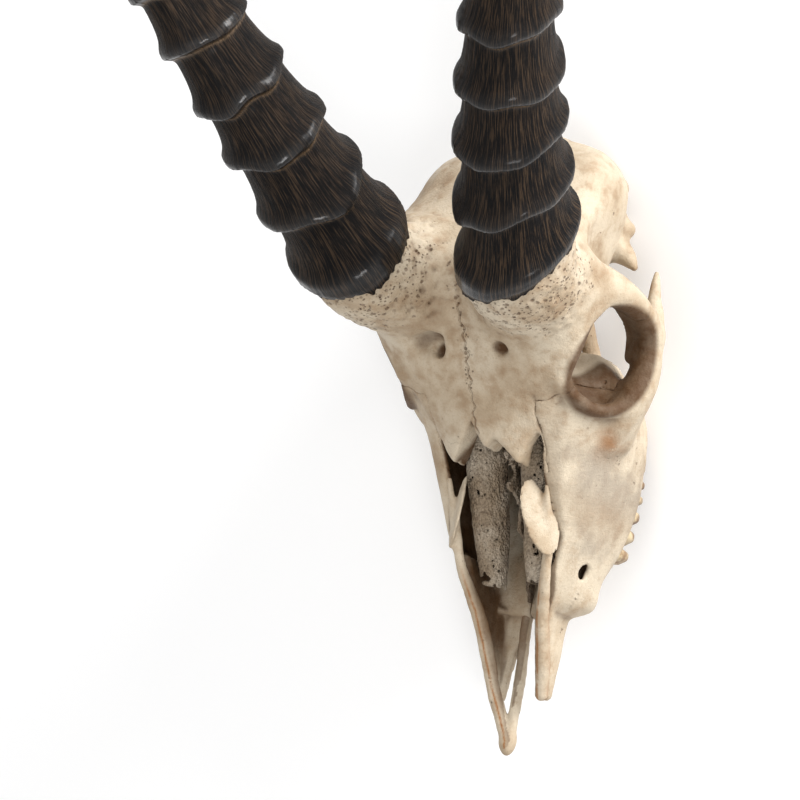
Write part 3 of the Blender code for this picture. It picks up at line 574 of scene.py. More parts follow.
def dress(shader, base, colour, rough, height, strength, distance):
    """Colour, roughness and relief (height times a distance in metres) onto the shader."""
    bump = base.node("Bump", Height=height, Strength=strength, Distance=distance)
    for link, name in ((colour.link, "Base Color"), (rough.link, "Roughness"),
                       (bump.outputs[0], "Normal")):
        base.tree.links.new(link, shader.inputs[name])


def rgb(red, green, blue):
    """A screen colour of 0 to 255 in the linear values that shaders take."""
    return tuple(((c / 255 + 0.055) / 1.055) ** 2.4 if c > 10 else c / 3294
                 for c in (red, green, blue)) + (1.0,)


def attribute(base, name):
    """The value that each point of a piece carries under a name."""
    return Socket(base.tree, base.node("Attribute", {"attribute_name": name}).outputs["Fac"])


def noise(base, where, scale, detail=3.0, rough=0.55):
    """Smooth noise about 0.5, with scale cells to a metre."""
    made = base.node("TexNoise", Vector=where, Scale=scale, Detail=detail, Roughness=rough)
    return Socket(base.tree, made.outputs["Fac"])


def cells(base, where, scale):
    """Distance to the middle of the nearest cell."""
    made = base.node("TexVoronoi", {"feature": "F1"}, Vector=where, Scale=scale)
    return Socket(base.tree, made.outputs["Distance"])


BONE_PALE, BONE_MID, BONE_DARK = rgb(196, 182, 160), rgb(170, 150, 124), rgb(78, 51, 24)
WARM_BONE, GREY_BONE, GOLD_SEAM = rgb(150, 117, 82), rgb(150, 142, 130), rgb(138, 84, 22)
SUTURE_BROWN, PORE_BROWN, DUST = rgb(110, 78, 46), rgb(84, 56, 32), rgb(112, 88, 62)


def bone_material():
    """Dry bone: pale and warm patches, brown painted shade in hollows, pores and cracks as dark
    pinholes.
    """
    made, shader, base, place = start_material("bone")
    wide, fine, porous, stain, grey, gold, middle = (
        attribute(base, key) for key in
        ("hollow", "crease", "porous", "stain", "grey", "gold", "midline"))
    cloud = noise(base, place, 38.0, 5.0, 0.6)
    mottle = noise(base, place, 150.0, 4.0, 0.65)
    grain = noise(base, place, 900.0, 3.0, 0.7)
    colour = cloud.band(0.36, 0.66).mix(BONE_PALE, BONE_MID)
    colour = (mottle.band(0.45, 0.75) * 0.45).mix(colour, WARM_BONE)
    colour = (grey * cloud.band(0.35, 0.6)).mix(colour, GREY_BONE)
    colour = (gold * mottle.band(0.25, 0.5)).mix(colour, GOLD_SEAM)
    # Painted shade: brown in creases and hollows, mottled in the hollows, with a random darker
    # cloud; then the painted shade of the nose, eye sockets and the blades' inner faces
    shade_and_tone = (fine.band(0.50, 0.66) * 0.6 + wide.band(0.56, 0.84) * 0.5
            + (mottle - 0.5) * 0.7 * wide.band(0.35, 0.62) + cloud.band(0.5, 0.75) * 0.18)
    shade_and_tone = base.sum("MAXIMUM", shade_and_tone, stain * (0.7 + mottle * 0.45))
    colour = base.sum("MINIMUM", shade_and_tone, 1.0, clamp=True).mix(colour, BONE_DARK)
    line = abs(middle + (mottle - 0.5) * 1.2).band(0.55, 0.15) * porous.band(1.0, 0.9)
    colour = (line * mottle.band(0.38, 0.6) * 0.65).mix(colour, SUTURE_BROWN)
    many, pits = noise(base, place, 210.0, 2.0), 0.0
    for scale, gain in ((620.0, 0.30), (330.0, 0.42)):
        pits = pits + cells(base, place, scale).band(0.34, 0.10) * (
            many + porous * gain).band(0.62, 0.80)
    colour = (pits * 0.65).mix(colour, PORE_BROWN)
    speck = noise(base, place, 1500.0, 2.0, 0.7)
    colour = (speck.band(0.52, 0.78) * 0.30).mix(colour, DUST)
    rough = 0.52 + grain * 0.22 + wide.band(0.5, 0.8) * 0.12
    shader.inputs["Specular IOR Level"].default_value = 0.35
    relief = grain * 0.8 + mottle * 1.1 - pits * 1.6 - line * 1.5
    dress(shader, base, colour, rough, relief, 0.8, 0.0006)
    return made


bone_finish = bone_material()
CHEEK_LINE = ((123.5, 200), (123.5, 86), (114, 80), (112, 56), (98, 46), (96, -20))
MIDDLE_LINE = ((150.5, 200), (150, 58), (112, 56), (98, 46), (96, -20))
TONGUE = 24.8
ARCH_SIDE, ARCH_TOP, ARCH_REAR = 44.0, 70.0, (66.0, 58.0)
BLADE_LINE = ((149, 66), (156, 60.3), (172, 50), (185, 44.5), (194, 39), (206, 32),
              (220, 23.5), (234, 17.6), (244, 10))


def side_region(line, close, grid):
    """Distance to a region of the side view, (s, h) points closed by the last ones given."""
    ring = np.asarray(tuple(line) + close, float)
    return outline_distance(ring, grid.axes[1][:, None], grid.axes[2][None, :])[None]


def part_face(grid):
    """Distance to the block in front of the frontals' edge, below the bar, that holds the face."""
    x = np.abs(grid.axes[0])[:, None, None]
    side = grid.axes[0][:, None, None] > 0
    s, h = grid.axes[1][None, :, None], grid.axes[2][None, None, :]
    corner = ((400, -20), (400, 200))
    middle, cheek = (side_region(line, corner, grid) for line in (MIDDLE_LINE, CHEEK_LINE))
    rear = np.where(side, ARCH_REAR[1], ARCH_REAR[0])
    arch = np.maximum(np.maximum(ARCH_SIDE - x, h - ARCH_TOP), rear - s)
    return np.minimum(np.minimum(middle, np.maximum(cheek, TONGUE - x)), arch)


wander = uneven(bone.axes, (0.5, 3, 7), (0.7, 8, 8))
face_room = part_face(bone) + wander
blade_room = side_region(BLADE_LINE, ((400, 10), (400, 200), (149, 200)), bone) + 0.3 * wander
x_grid = bone.axes[0][:, None, None]


# Patches of the surface, each a centre and sizes: pores at the cheek, rust, and grey bone
PORES = (40, 118, 40), (7, 16, 14)
RUST = (43, 133, 52), (3.5, 7, 8)
GREY_PATCHES = ((36, 145), (10, 16)), ((30, 175), (8, 10))
PEDICLE_REACH, PEDICLE_FADE = 22, 12


def patch(points, centre, sizes):
    """exp(-q), with q the squared distance to the centre, counted in sizes on each axis."""
    return np.exp(-sum(((points[:, i] - c) / size) ** 2
                       for i, (c, size) in enumerate(zip(centre, sizes))))


def bone_marks(points):
    """Point values of a bone: how deep it lies in hollows and creases, its pores, and painted
    shade.
    """
    x, s, h = points.T
    pedicle = np.min([np.linalg.norm(points - (HORN_BASE - 8 * HORN_AXIS) * (side, 1, 1), axis=1)
                      for side in (1, -1)], axis=0)
    porous = np.clip(1 - (pedicle - PEDICLE_REACH) / PEDICLE_FADE, 0, 1)
    porous = np.maximum(porous, patch(points, *PORES))
    porous = np.maximum(porous, 0.85 * np.exp(-((x + 1) / 2.4) ** 2) * (h > 92) * (s > 70))
    inner = np.clip((sample(hollow_wide, bone.axes, points) - 0.55) * 3, 0, 1)
    step = np.array((0.9, 0, 0))
    facing = (sample(bone.field, bone.axes, points + step)
              - sample(bone.field, bone.axes, points - step)) / 1.8 * np.sign(x)
    # Painted shade inside the nose, on the walls that face the middle and deep in its hollows, and
    # inside the eye socket
    depth = np.clip((s - 112) / 6, 0, 1) * np.clip((232 - s) / 20, 0, 1) * np.clip(
        (h - 15) / 3, 0, 1) * np.clip((75 - h) / 4, 0, 1) * (np.abs(x) < 38)
    nose = depth * np.maximum(np.clip(-facing * 2.2 - 0.1, 0, 1), inner * (h < 60))
    grey = sum(patch(points, *row) for row in GREY_PATCHES)
    orbit = np.sqrt(((np.abs(x) - 47) / 19.5) ** 2 + ((s - 102) / 24.5) ** 2
                    + ((h - 73) / 21) ** 2)
    orbit = np.clip((1.12 - orbit) / 0.1, 0, 1)
    zigzag = -1.4 + 1.3 * np.abs((s / 2.3) % 2 - 1) + 0.4 * np.sin(s * 0.7)
    frontal = (s > 92) & (s < 142) & (h > 78)
    gold = 0.7 * patch(points, *RUST)
    return {"hollow": sample(hollow_wide, bone.axes, points),
            "crease": sample(hollow_fine, bone.axes, points), "gold": gold,
            "porous": porous, "stain": np.maximum(nose, orbit), "grey": grey * 0.7,
            "midline": np.where(frontal, x - zigzag, 9.0)}


def part(name, field):
    """One named bone, from its own share of the fused solid."""
    points, faces = largest(*skin(field, bone.axes))
    build(name, points, faces, bone_marks(points), (name,), bone_finish)


SEAT_NORMAL = (HORN_AXIS - SEAT_LEAN * LEAN) / math.hypot(1, SEAT_LEAN)
seat_middle = HORN_BASE + SEAT_RISE * HORN_AXIS
seat = (np.abs(x_grid) * SEAT_NORMAL[0] + bone.axes[1][None, :, None] * SEAT_NORMAL[1]
        + bone.axes[2][None, None, :] * SEAT_NORMAL[2] - seat_middle.dot(SEAT_NORMAL))
part("cranium", np.maximum(np.maximum(bone.field, SEAM - face_room), seat))
for side, name in ((1, "face_left"), (-1, "face_right")):
    apart = np.maximum(face_room + SEAM, 0.15 - side * x_grid)
    part(name, np.maximum(np.maximum(bone.field, apart), SEAM - blade_room))

# Blades of the muzzle.
# The premaxillae are thin strips along the nasal notch, each with a leaf at its upper end. Only
# the right one keeps its tip and the slim process along the palate; the left one is broken off.
BLADE_GRID = 0.6
BLADE = ((23, 154, 62), (22.5, 164, 57), (22, 174, 51.5), (19.8, 188, 46.5), (15.4, 204, 35.5),
         (13.2, 220, 26), (11.6, 233, 19.5))
BLADE_RADII = (1.2, 1.5, 1.9, 2.2, 2.9, 3.1, 2.9)
TIP, TIP_RADII = ((6.8, 247, 15.2), (4, 254, 14.4)), (2.9, 2.6)
PROCESS = ((-3.0, 201, 16), (-2.3, 225, 15), (-3.0, 252, 14.2))


def process_room(grid):
    """Distance to the block beside the midline that holds the right palatine process."""
    x, s, h = np.ix_(*grid.axes)
    across = np.maximum(np.abs(x + 1.75) - 3.75, np.maximum(200 - s, s - 270))
    return np.maximum(across, np.maximum(8 - h, h - 20))


def blade(side):
    """A premaxilla, worked out on a finer grid of its own and cut along its own suture."""
    ends = (-2.0, 30.0) if side > 0 else (-30.0, 3.0)
    own = Solid(np.arange(*ends, BLADE_GRID), np.arange(148, 264, BLADE_GRID),
                np.arange(7, 72, BLADE_GRID))
    mirrored = (side, 1, 1)
    line, radii = BLADE, BLADE_RADII
    if side < 0:
        line, radii = BLADE + TIP, BLADE_RADII + TIP_RADII
    own.rod(np.multiply(line, mirrored), radii, 2)
    leaf = (20.4, 166, 59) if side > 0 else (-19.4, 166, 57.5)
    own.ball(leaf, (1.1, 16, 7.4 if side > 0 else 5.6), 2.5, turn=(27, -40 * side, 0))
    room = side_region(BLADE_LINE, ((400, 10), (400, 200), (149, 200)), own)
    room = room + 0.35 * lattice_noise(own.axes, 3, 9) + SEAM
    if side < 0:
        own.rod(PROCESS, (2.3, 2.4, 2.3), 1.5)
        own.ball((-3.7, 255, 14), (3.0, 4.6, 3.0), 3)
        room = np.minimum(room, process_room(own))
    own.field += uneven(own.axes, (0.2, 6, 10), (0.16, 2.2, 11))
    solid = (own.field < 0).astype(np.float32)
    # Painted shade for the blade: darker where more solid lies round a point
    around = {"hollow": 0.4 + 0.3 * soften(solid, 8), "crease": 0.3 + 0.4 * soften(solid, 3)}
    points, faces = largest(*skin(np.maximum(own.field, room), own.axes))
    x, s, h = points.T
    seam = np.abs(sample(room, own.axes, points))
    marks = {key: sample(values, own.axes, points) for key, values in around.items()}
    inward = np.interp(s, *np.array(line)[:, 1::-1].T) - np.abs(x)
    lower = np.clip((s - 186) / 12, 0, 1) * (h > 17)
    gold = np.maximum(np.exp(-seam / 1.3), np.exp(-((inward - 0.7) / 0.5) ** 2))
    # The blade's inner face, toward the nose, gets painted shade
    marks.update(porous=0.3 * np.clip((s - 225) / 12, 0, 1), midline=0 * s + 9,
                 stain=0.6 * np.clip((inward - 0.8) / 1.5, 0, 1) * lower, gold=gold * lower)
    return points, faces, marks


for side, name in ((1, "premaxilla_left"), (-1, "premaxilla_right")):
    points, faces, marks = blade(side)
    build(name, points, faces, marks, (name,), bone_finish)

# Inside of the nose.
# Scrolls of thin, spongy bone, grey with age: a lower concha on each side, the plates of the
# ethmoid above and behind them, and the upright septum. All end in broken, ragged edges.
LACE_GRID = 0.5
CONCHA = ((124, 12, 57, 7, 11), (145, 13, 51, 8, 11.5), (165, 12.5, 42.5, 7.5, 10.5),
          (180, 11.5, 37.5, 6.5, 8.5), (193, 11, 33, 5.0, 6.0))
SEPTUM = ((131, 20.9), (196, 20.9), (192, 26), (176, 29), (168, 40), (160, 42), (153, 55),
          (147, 50), (141, 61), (137, 57), (133, 62), (131, 58))
ETHMOID = ((4.5, 146), (8.5, 143), (12.5, 146), (16.5, 140))


def scroll(side, seed):
    """A rolled shell: two nested lofts, opened by a slot along its outer side, eaten by noise."""
    own = Solid(np.arange(2, 33, LACE_GRID), np.arange(118, 198, LACE_GRID),
                np.arange(22, 74, LACE_GRID))
    around = np.linspace(0, 2 * math.pi, 14, endpoint=False)
    for inset, carve in ((0, False), (1.5, True)):
        rings = [[(x + (across - inset) * math.cos(a), h + (up - inset) * math.sin(a))
                  for a in around] for s, x, h, across, up in CONCHA]
        own.loft([row[0] for row in CONCHA], rings, 0.6, carve, 1)
    own.rod(((21, 126, 62), (22, 150, 52), (21, 172, 42), (18, 190, 35)), (3.2, 3.6, 3.2, 3),
            1, True)
    own.rod(((13, 128, 56), (13, 150, 49), (12, 170, 41), (11, 188, 35)), (1.2, 1.5, 1.3, 1), 1)
    own.rod(((12.5, 150, 45), (18, 150, 40), (29, 150, 38)), (1.3, 1.2, 1.4), 2)
    x, s, h = np.ix_(*own.axes)
    ragged = uneven(own.axes, (4.5, 5, seed), (2, 2, seed + 1))
    holes = uneven(own.axes, (1.15, 1.2, seed + 2), (0.5, 4.5, seed + 3))
    field = own.field + 0.3 * lattice_noise(own.axes, 3, seed + 4)
    field = np.maximum(field, np.maximum(s - 190 - ragged, 0.5 - np.abs(holes - 1.25)))
    points, faces = largest(*skin(np.maximum(field, 121 - s + 0.5 * ragged), own.axes))
    return points * (side, 1, 1), faces[:, ::-1] if side < 0 else faces


def sheet(middle, half_thick, outline, low, high, seed):
    """An upright plate at x = middle: |x - middle - wave| less half its thickness, in outline."""
    own = Solid(np.arange(middle - 4, middle + 4, LACE_GRID), np.arange(low, 200, LACE_GRID),
                np.arange(18, high, LACE_GRID))
    ring = np.asarray(outline, float)
    flat = outline_distance(ring, own.axes[1][:, None], own.axes[2][None, :])[None]
    x = own.axes[0][:, None, None]
    wave = 1.3 * lattice_noise([own.axes[0][:1], *own.axes[1:]], 9, seed)[:1]
    field = np.abs(x - middle - wave) - half_thick + 0.3 * lattice_noise(own.axes, 1.8, seed + 1)
    edge = flat + 1.4 * lattice_noise(own.axes, 2.4, seed + 2)
    return largest(*skin(np.maximum(field, edge), own.axes))


def lace_material():
    """Grey spongy bone, with painted brown shade in its depths."""
    made, shader, base, place = start_material("turbinate_bone")
    cloud, mottle = noise(base, place, 60.0, 4.0, 0.6), noise(base, place, 420.0, 3.0, 0.65)
    colour = cloud.band(0.35, 0.65).mix(rgb(178, 164, 145), rgb(142, 124, 102))
    colour = (mottle.band(0.5, 0.75) * 0.6).mix(colour, rgb(78, 58, 40))
    # Painted shade: darker brown where the piece lies deeper in the nose
    colour = (attribute(base, "depth") * 0.8).mix(colour, rgb(70, 48, 28))
    sponge = noise(base, place, 1100.0, 2.0, 0.6)
    colour = (sponge.band(0.5, 0.68) * 0.35).mix(colour, rgb(72, 60, 46))
    relief = mottle + cells(base, place, 900.0) * 1.6
    dress(shader, base, colour, 0.62 + mottle * 0.25, relief, 0.9, 0.0006)
    return made


lace_finish = lace_material()
# depth is painted shade: low and toward the back on the conchae, low on the septum, at the back of
# the ethmoid plates
for side, name, seed in ((1, "concha_left", 100), (-1, "concha_right", 120)):
    points, faces = scroll(side, seed)
    depth = np.clip((62 - points[:, 2]) / 30 - (points[:, 1] - 120) / 90, 0, 1)
    build(name, points, faces, {"depth": depth}, (name,), lace_finish)
points, faces = sheet(0.0, 0.85, SEPTUM, 126, 66, 140)
build("septum", points, faces, {"depth": np.clip((50 - points[:, 2]) / 30, 0, 1)}, ("septum",),
      lace_finish)
for side, key in ((1, "left"), (-1, "right")):
    for i, (middle, reach) in enumerate(ETHMOID):
        high = 76 - 0.55 * middle
        outline = ((118, 44), (reach - 8, 42), (reach - 3, 50), (reach, 54), (reach - 5, 57),
                   (reach - 1, 62), (reach - 6, 66), (reach - 9, high), (118, high + 8))
        points, faces = sheet(side * middle, 0.6, outline, 114, 86, 150 + 10 * i + side)
        build(f"ethmoid_{key}_{i + 1}", points, faces,
              {"depth": np.clip((132 - points[:, 1]) / 14, 0, 1)}, (), lace_finish)

# Cheek teeth.
# Selenodont molars and premolars, worn and stained, one crescent lobe after another in the jaw.
LOBES = ((170.5, 33.0, 8.0), (162.0, 34.0, 8.5), (153.5, 34.8, 8.5), (146.0, 35.0, 6.6),
         (139.5, 34.8, 6.6), (132.5, 34.0, 7.2), (125.5, 32.6, 7.2), (118.3, 31.2, 7.4),
         (111.0, 29.6, 7.4))
TOOTH_DEPTH, PALATE, ROOT, CROWN = 11.0, 12.0, 6.0, 11.4
CROWN_ROWS = ((ROOT, 0.86), (3, 0.95), (0, 1.0), (-4, 0.97), (-7, 0.9), (-9.6, 0.8),
              (-11, 0.68), (-CROWN, 0.56), (-10.2, 0.44), (-9.2, 0.3), (-10.2, 0.18), (-10.8, 0.06))
TOOTH_TURNS = 56


def tube(rows, turns):
    """Faces of a closed tube: squares between neighbouring rows, and a cap at each end."""
    number = np.arange(rows * turns).reshape(rows, turns)
    beside = np.roll(number, -1, axis=1)
    quads = np.stack([number[:-1], number[1:], beside[1:], beside[:-1]], axis=-1).reshape(-1, 4)
    return quads.tolist() + [number[0].tolist(), number[-1][::-1].tolist()]


def tooth(side, s, outer, length):
    """A lobe: x and s follow a superellipse with ribs, cos(4a); rows of it give the crown."""
    crown = 0.35 + 0.0016 * (s - 140) ** 2
    a = np.arange(TOOTH_TURNS) * 2 * math.pi / TOOTH_TURNS
    shape = np.stack([np.sign(np.cos(a)) * np.abs(np.cos(a)) ** 0.75,
                      np.sign(np.sin(a)) * np.abs(np.sin(a)) ** 0.7]) * (1 + 0.05 * np.cos(4 * a))
    shape[0] += 0.12 * np.cos(3 * a) * (np.cos(a) > 0)
    rows = []
    for up, grow in CROWN_ROWS:
        h = PALATE + up * (1 if up > 0 else (PALATE - crown) / CROWN)
        cusp = 0.7 * np.cos(2 * a) * np.clip((-up - 7) / 3, 0, 1) * grow
        x = outer + 0.06 * (PALATE - h) - TOOTH_DEPTH / 2 + TOOTH_DEPTH / 2 * grow * shape[0]
        h = np.maximum(h + 0 * a - cusp, (FLOOR_GAP - SHIFT_Z - s * math.sin(TILT))
                       / math.cos(TILT))
        along = length * (0.26 + 0.25 * grow) * min(grow / 0.5, 1)
        rows.append(np.stack([x * side, s + along * shape[1], h], axis=-1))
    points = np.concatenate(rows)
    points[:, 2] = np.maximum(points[:, 2], (2 * FLOOR_GAP - SHIFT_Z
                                             - points[:, 1] * math.sin(TILT)) / math.cos(TILT))
    faces = tube(len(CROWN_ROWS), TOOTH_TURNS)
    wear = np.repeat(np.clip((-np.array([row[0] for row in CROWN_ROWS]) - 7) / 4, 0, 1),
                     TOOTH_TURNS)
    return points, [face[::-1] for face in faces] if side > 0 else faces, wear


def enamel_material():
    """Old enamel: cream with brown tartar, darker where it is worn."""
    made, shader, base, place = start_material("tooth")
    cloud, streak = noise(base, place, 120.0, 4.0, 0.6), noise(base, place, 600.0, 3.0, 0.6)
    colour = cloud.band(0.4, 0.62).mix(rgb(196, 176, 140), rgb(124, 92, 56))
    colour = (attribute(base, "wear") * 0.7).mix(colour, rgb(92, 64, 38))
    dress(shader, base, colour, 0.30 + streak * 0.25, streak, 0.35, 0.0003)
    return made


enamel = enamel_material()
for side, key in ((1, "left"), (-1, "right")):
    points, faces, wear = [], [], []
    for lobe in LOBES:
        new_points, new_faces, new_wear = tooth(side, *lobe)
        start = sum(len(block) for block in points)
        faces += [[i + start for i in face] for face in new_faces]
        points.append(new_points)
        wear.append(new_wear)
    build(f"teeth_{key}", np.concatenate(points), faces, {"wear": np.concatenate(wear)}, (),
          enamel)

# Horns.
# Each is a sheath of black horn grown over the bony core: bold rings, widely spaced, with a
# steep side toward the base, fine strands along it, a worn front and a flaking edge at its foot.
HORN_KNOTS = (HORN_BASE, (52.8, 45.5, 181.1), (69.4, 12.1, 221.7), (90, -28, 264),
              (109, -66, 311), (122, -97, 364), (127, -116, 422), (121, -122, 492))
HORN_LENGTH, HORN_RADIUS, TIP_RADIUS = 430.0, 24.8, 2.4
DEEP, TAPER = 1.09, 1.1
FIRST_RING, RING_SPACING, RING_CLOSING, RING_COUNT = 5.0, 25.2, 0.99, 13
RING_LEANS = (0.42, 0.10, 70.0)    # the rings' slant at the foot, at the tip, and how it fades
RING_DEPTH, RING_WANDER, STRAND_HEIGHT = 4.8, 1.1, 0.17
RIM_DROP, RIM_RAGGED, RIM_LOWEST, RIM_HIGHEST = 1.1, 2.1, -5.5, 0.8
FOOT_RADII = (6.0, 20.5, 21.6)
TURNS, ROWS, STRAND_ROWS = 184, 500, 9
BLUNT, UPRIGHT, STRAND_LENGTH = 0.985, 12, 420
# Depth of the valley from one crest to the next: a round bead, a long dip, then a sharp step
RING_PROFILE = ((0, 0.05, 0.12, 0.18, 0.25, 0.36, 0.52, 0.7, 0.82, 0.89, 0.94, 0.97, 1.0),
                (0.04, 0.0, 0.05, 0.28, 0.52, 0.72, 0.88, 0.98, 1.0, 0.93, 0.66, 0.3, 0.04))


def smooth_ring(seed, waves, count):
    """Values round a horn: a sum of waves with random sizes and phases, so that it closes."""
    rng = np.random.default_rng(seed)
    angle = np.arange(count) * (2 * math.pi / count)
    size, phase = rng.normal(size=len(waves)), rng.uniform(0, 2 * math.pi, len(waves))
    return sum(a * np.cos(n * angle + p) / n ** 0.5 for a, n, p in zip(size, waves, phase))


def horn(side):
    """Sheath r(angle, d): the crests' taper less a valley that deepens toward the next ring."""
    path = flow(np.multiply(HORN_KNOTS, (side, 1, 1)), 60)
    walked = np.concatenate([[0], np.cumsum(np.linalg.norm(np.diff(path, axis=0), axis=1))])
    axis, lean = HORN_AXIS * (side, 1, 1), LEAN * (side, 1, 1)
    crests = FIRST_RING + RING_SPACING * np.concatenate(
        [[0], np.cumsum(RING_CLOSING ** np.arange(RING_COUNT - 1))])
    angle = np.arange(TURNS) * (2 * math.pi / TURNS)
    ragged = RIM_RAGGED * smooth_ring(20 + side, (3, 6, 11, 17, 26, 38, 52), TURNS)
    rim = np.clip(SEAT_RISE - RIM_DROP + ragged, RIM_LOWEST, SEAT_RISE + RIM_HIGHEST)
    d = rim + (HORN_LENGTH - rim) * np.linspace(0, 1, ROWS)[:, None]
    columns = np.arange(TURNS)[None]
    wave = np.array([smooth_ring(40 + i + 20 * side, (1, 2, 3, 5, 7), TURNS)
                     for i in range(RING_COUNT + 1)])
    row = np.interp(d, crests, np.arange(RING_COUNT))
    lower = np.minimum(row.astype(int), RING_COUNT - 1)
    part = row - lower
    shift = wave[lower, columns] * (1 - part) + wave[lower + 1, columns] * part
    row = np.interp(d + RING_WANDER * shift * np.clip(d / 20, 0, 1), crests, np.arange(RING_COUNT))
    part = row - row.astype(int)
    valley = np.interp(part, *RING_PROFILE)
    below = np.maximum(FIRST_RING - d, 0)
    valley = np.maximum(valley, 0.38 * np.clip((below - 1.2) / 3, 0, 1))
    past = d > crests[-1]
    fraction = np.clip(d / HORN_LENGTH, 0, 1)
    crest = TIP_RADIUS + (HORN_RADIUS - TIP_RADIUS) * (1 - fraction) ** TAPER
    front = 0.5 + 0.5 * np.cos(angle)[None]
    depth = RING_DEPTH * np.maximum(1 - 0.75 * d / crests[-1], 0.1) * (0.85 + 0.25 * front)
    radius = crest - np.where(past, RING_DEPTH * 0.1 * (1 - fraction), depth * valley)
    strands = np.array([smooth_ring(60 + i + 30 * side, (9, 14, 23, 31, 44, 57, 71), TURNS)
                        for i in range(STRAND_ROWS)])
    at = fraction * (STRAND_ROWS - 1)
    low = np.minimum(at.astype(int), STRAND_ROWS - 2)
    strand = strands[low, columns] * (1 - at + low) + strands[low + 1, columns] * (at - low)
    radius += STRAND_HEIGHT * strand * (1 - 0.7 * fraction)
    end = np.clip((fraction - BLUNT) / (1 - BLUNT), 0, 1)
    radius *= np.sqrt(np.maximum(1 - end ** 2, 0.01)) * (1 - 0.05 * fraction)
    inner = np.stack([*(np.full(TURNS, r) for r in FOOT_RADII), radius[0] - 0.4])
    foot = np.stack([np.full(TURNS, SEAT_RISE + 0.4), np.full(TURNS, SEAT_RISE + 0.4),
                     rim + 0.7, rim - 0.1])
    radius, d = np.concatenate([inner, radius]), np.concatenate([foot, d])
    valley = np.concatenate([np.zeros((len(inner), TURNS)), np.where(past, 0.3, valley)])
    centre, ahead, behind = (np.stack([np.interp(np.clip(d + step, 0, HORN_LENGTH), walked,
                                                 path[:, i]) for i in range(3)], axis=-1)
                             for step in (0, 5, -5))
    along = (ahead - behind) / np.linalg.norm(ahead - behind, axis=-1, keepdims=True)
    keep = np.clip(d / UPRIGHT, 0, 1)[..., None]
    along = along * keep + axis * (1 - keep)
    along /= np.linalg.norm(along, axis=-1, keepdims=True)
    toward = np.array((0, 1, 0.4))
    out = toward - along * (along @ toward)[..., None]
    out /= np.linalg.norm(out, axis=-1, keepdims=True)
    reach = radius[..., None] * (DEEP * np.cos(angle)[None, :, None] * out
                                 + np.sin(angle)[None, :, None] * np.cross(along, out))
    first, last, fading = RING_LEANS
    slope = last + (first - last) * np.exp(-np.maximum(d, 0) / fading)
    near = np.clip((FIRST_RING - d) / (FIRST_RING - SEAT_RISE), 0, 1)
    slope = slope + (SEAT_LEAN - slope) * near
    points = (centre + np.minimum(d, 0)[..., None] * axis + reach
              + along * (slope * (reach @ lean))[..., None])
    part = np.concatenate([np.full((len(inner), TURNS), 0.5), np.where(past, 0.5, part)])
    beside_crest = np.minimum(part, 1 - part) + np.maximum(FIRST_RING - d, 0) / RING_SPACING
    marks = {"valley": valley.ravel(), "bead": np.exp(-(beside_crest / 0.11) ** 2).ravel(),
             "under": np.exp(-((part - 0.91) / 0.022) ** 2).ravel(),
             "front": np.broadcast_to(front, d.shape).ravel(),
             "away": (d - rim).ravel()}
    strand_at = np.stack(np.broadcast_arrays(
        np.cos(angle)[None], np.sin(angle)[None], d / STRAND_LENGTH), axis=-1).reshape(-1, 3)
    return points.reshape(-1, 3), tube(len(points), TURNS), marks, strand_at


def horn_material():
    """Black keratin: strands along the horn, brown where worn, glossy on the rings' fronts."""
    made, shader, base, place = start_material("horn_sheath")
    strand = base.node("Attribute", {"attribute_name": "strand"}).outputs["Vector"]
    strand = Socket(base.tree, strand)
    valley, front, bead, under, away = (attribute(base, key) for key in
                                        ("valley", "front", "bead", "under", "away"))
    fibre = noise(base, strand, 46.0, 4.0, 0.6)
    fine = noise(base, strand, 150.0, 3.0, 0.6)
    cloud = noise(base, place, 30.0, 4.0, 0.6)
    worn = (fibre.band(0.48, 0.62) * (0.45 + cloud * 0.6)
            * (0.42 + valley * 0.4 + away.band(26, 0) * 0.3))
    colour = (cloud.band(0.35, 0.7) * 0.6).mix(rgb(10, 9, 10), rgb(22, 18, 17))
    colour = (worn * 0.8).mix(colour, rgb(96, 76, 57))
    colour = (under * fine.band(0.35, 0.6) * 0.75).mix(colour, rgb(146, 118, 88))
    bead = bead * front.band(0.2, 0.75)
    coat = bead * (0.55 + fibre * 0.8)
    base.tree.links.new(coat.link, shader.inputs["Coat Weight"])
    shader.inputs["Coat Roughness"].default_value = 0.22
    shader.inputs["Specular IOR Level"].default_value = 0.12
    relief = fibre + fine * 0.8 * (1 - bead * 0.5)
    dress(shader, base, colour, 0.42 + fine * 0.25 - bead * 0.16, relief, 0.8, 0.0008)
    return made


horn_finish = horn_material()
for side, name in ((1, "horn_left"), (-1, "horn_right")):
    points, faces, marks, strand_at = horn(side)
    piece = build(name, points, faces, marks, (name,), horn_finish)
    lines = piece.data.attributes.new("strand", "FLOAT_VECTOR", "POINT")
    lines.data.foreach_set("vector", strand_at.astype(np.float32).ravel())

# Floor, light and camera.
# A plain pale floor and backdrop in one. A broad soft light stands at the upper right, and two
# weaker ones stand in front.
RIGHT, UP, TOWARD = (0.8373, 0.1668, -0.5206), (-0.0375, 0.9676, 0.2497), (0.5454, -0.1895, 0.8165)
EYE = (507.5, 316.3, 902.56)
LENS, SENSOR = 109.87, 36.0

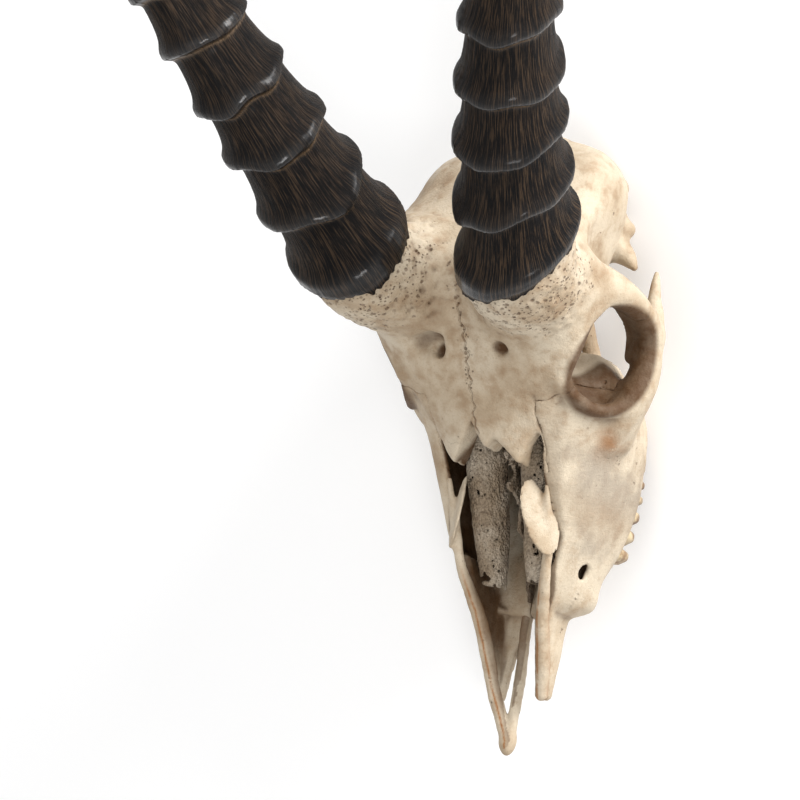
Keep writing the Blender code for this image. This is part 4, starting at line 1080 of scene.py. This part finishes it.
floor_mesh = bpy.data.meshes.new("floor")
FLOOR = 20.0
floor_mesh.from_pydata([(-FLOOR, -FLOOR, 0), (FLOOR, -FLOOR, 0), (FLOOR, FLOOR, 0),
                        (-FLOOR, FLOOR, 0)], [], [(0, 1, 2, 3)])
floor = bpy.data.objects.new("floor", floor_mesh)
bpy.context.scene.collection.objects.link(floor)
made, shader, base, place = start_material("floor")
colour = noise(base, place, 3.0, 2.0).mix((0.90, 0.90, 0.90, 1), (0.93, 0.93, 0.93, 1))
base.tree.links.new(colour.link, shader.inputs["Base Color"])
shader.inputs["Roughness"].default_value = 0.7
shader.inputs["Emission Color"].default_value = (1, 1, 1, 1)
shader.inputs["Emission Strength"].default_value = 0.12
floor_mesh.materials.append(made)

turn = Matrix.Rotation(-TILT, 3, "X")
right, up, toward = (turn @ Vector(direction) for direction in (RIGHT, UP, TOWARD))
camera_data = bpy.data.cameras.new("camera")
camera_data.lens, camera_data.sensor_width = LENS, SENSOR
camera = bpy.data.objects.new("camera", camera_data)
camera.matrix_world = Matrix.Translation(world(EYE)) @ Matrix(
    (right, up, toward)).transposed().to_4x4()
bpy.context.scene.collection.objects.link(camera)
bpy.context.scene.camera = camera


def lamp(name, direction, distance, size, energy):
    """A square area light that faces the skull from a direction given by the camera's axes."""
    data = bpy.data.lights.new(name, "AREA")
    data.size, data.energy = size, energy
    made = bpy.data.objects.new(name, data)
    way = (right * direction[0] + up * direction[1] + toward * direction[2]).normalized()
    made.location = Vector((0, 0, 0.15)) + way * distance
    made.rotation_euler = way.to_track_quat("Z", "Y").to_euler()
    bpy.context.scene.collection.objects.link(made)


lamp("key", (0.9, 0.75, 0.7), 1.8, 0.9, 56)
lamp("front", (0.1, -0.38, 0.95), 1.6, 0.4, 7)
lamp("fill", (-0.5, 0.2, 1.0), 2.4, 2.0, 8)
backdrop = bpy.data.worlds.new("backdrop")
backdrop.use_nodes = True
backdrop.node_tree.nodes["Background"].inputs["Color"].default_value = (1, 1, 1, 1)
backdrop.node_tree.nodes["Background"].inputs["Strength"].default_value = 0.70
bpy.context.scene.world = backdrop
bpy.context.scene.view_settings.view_transform = "Standard"
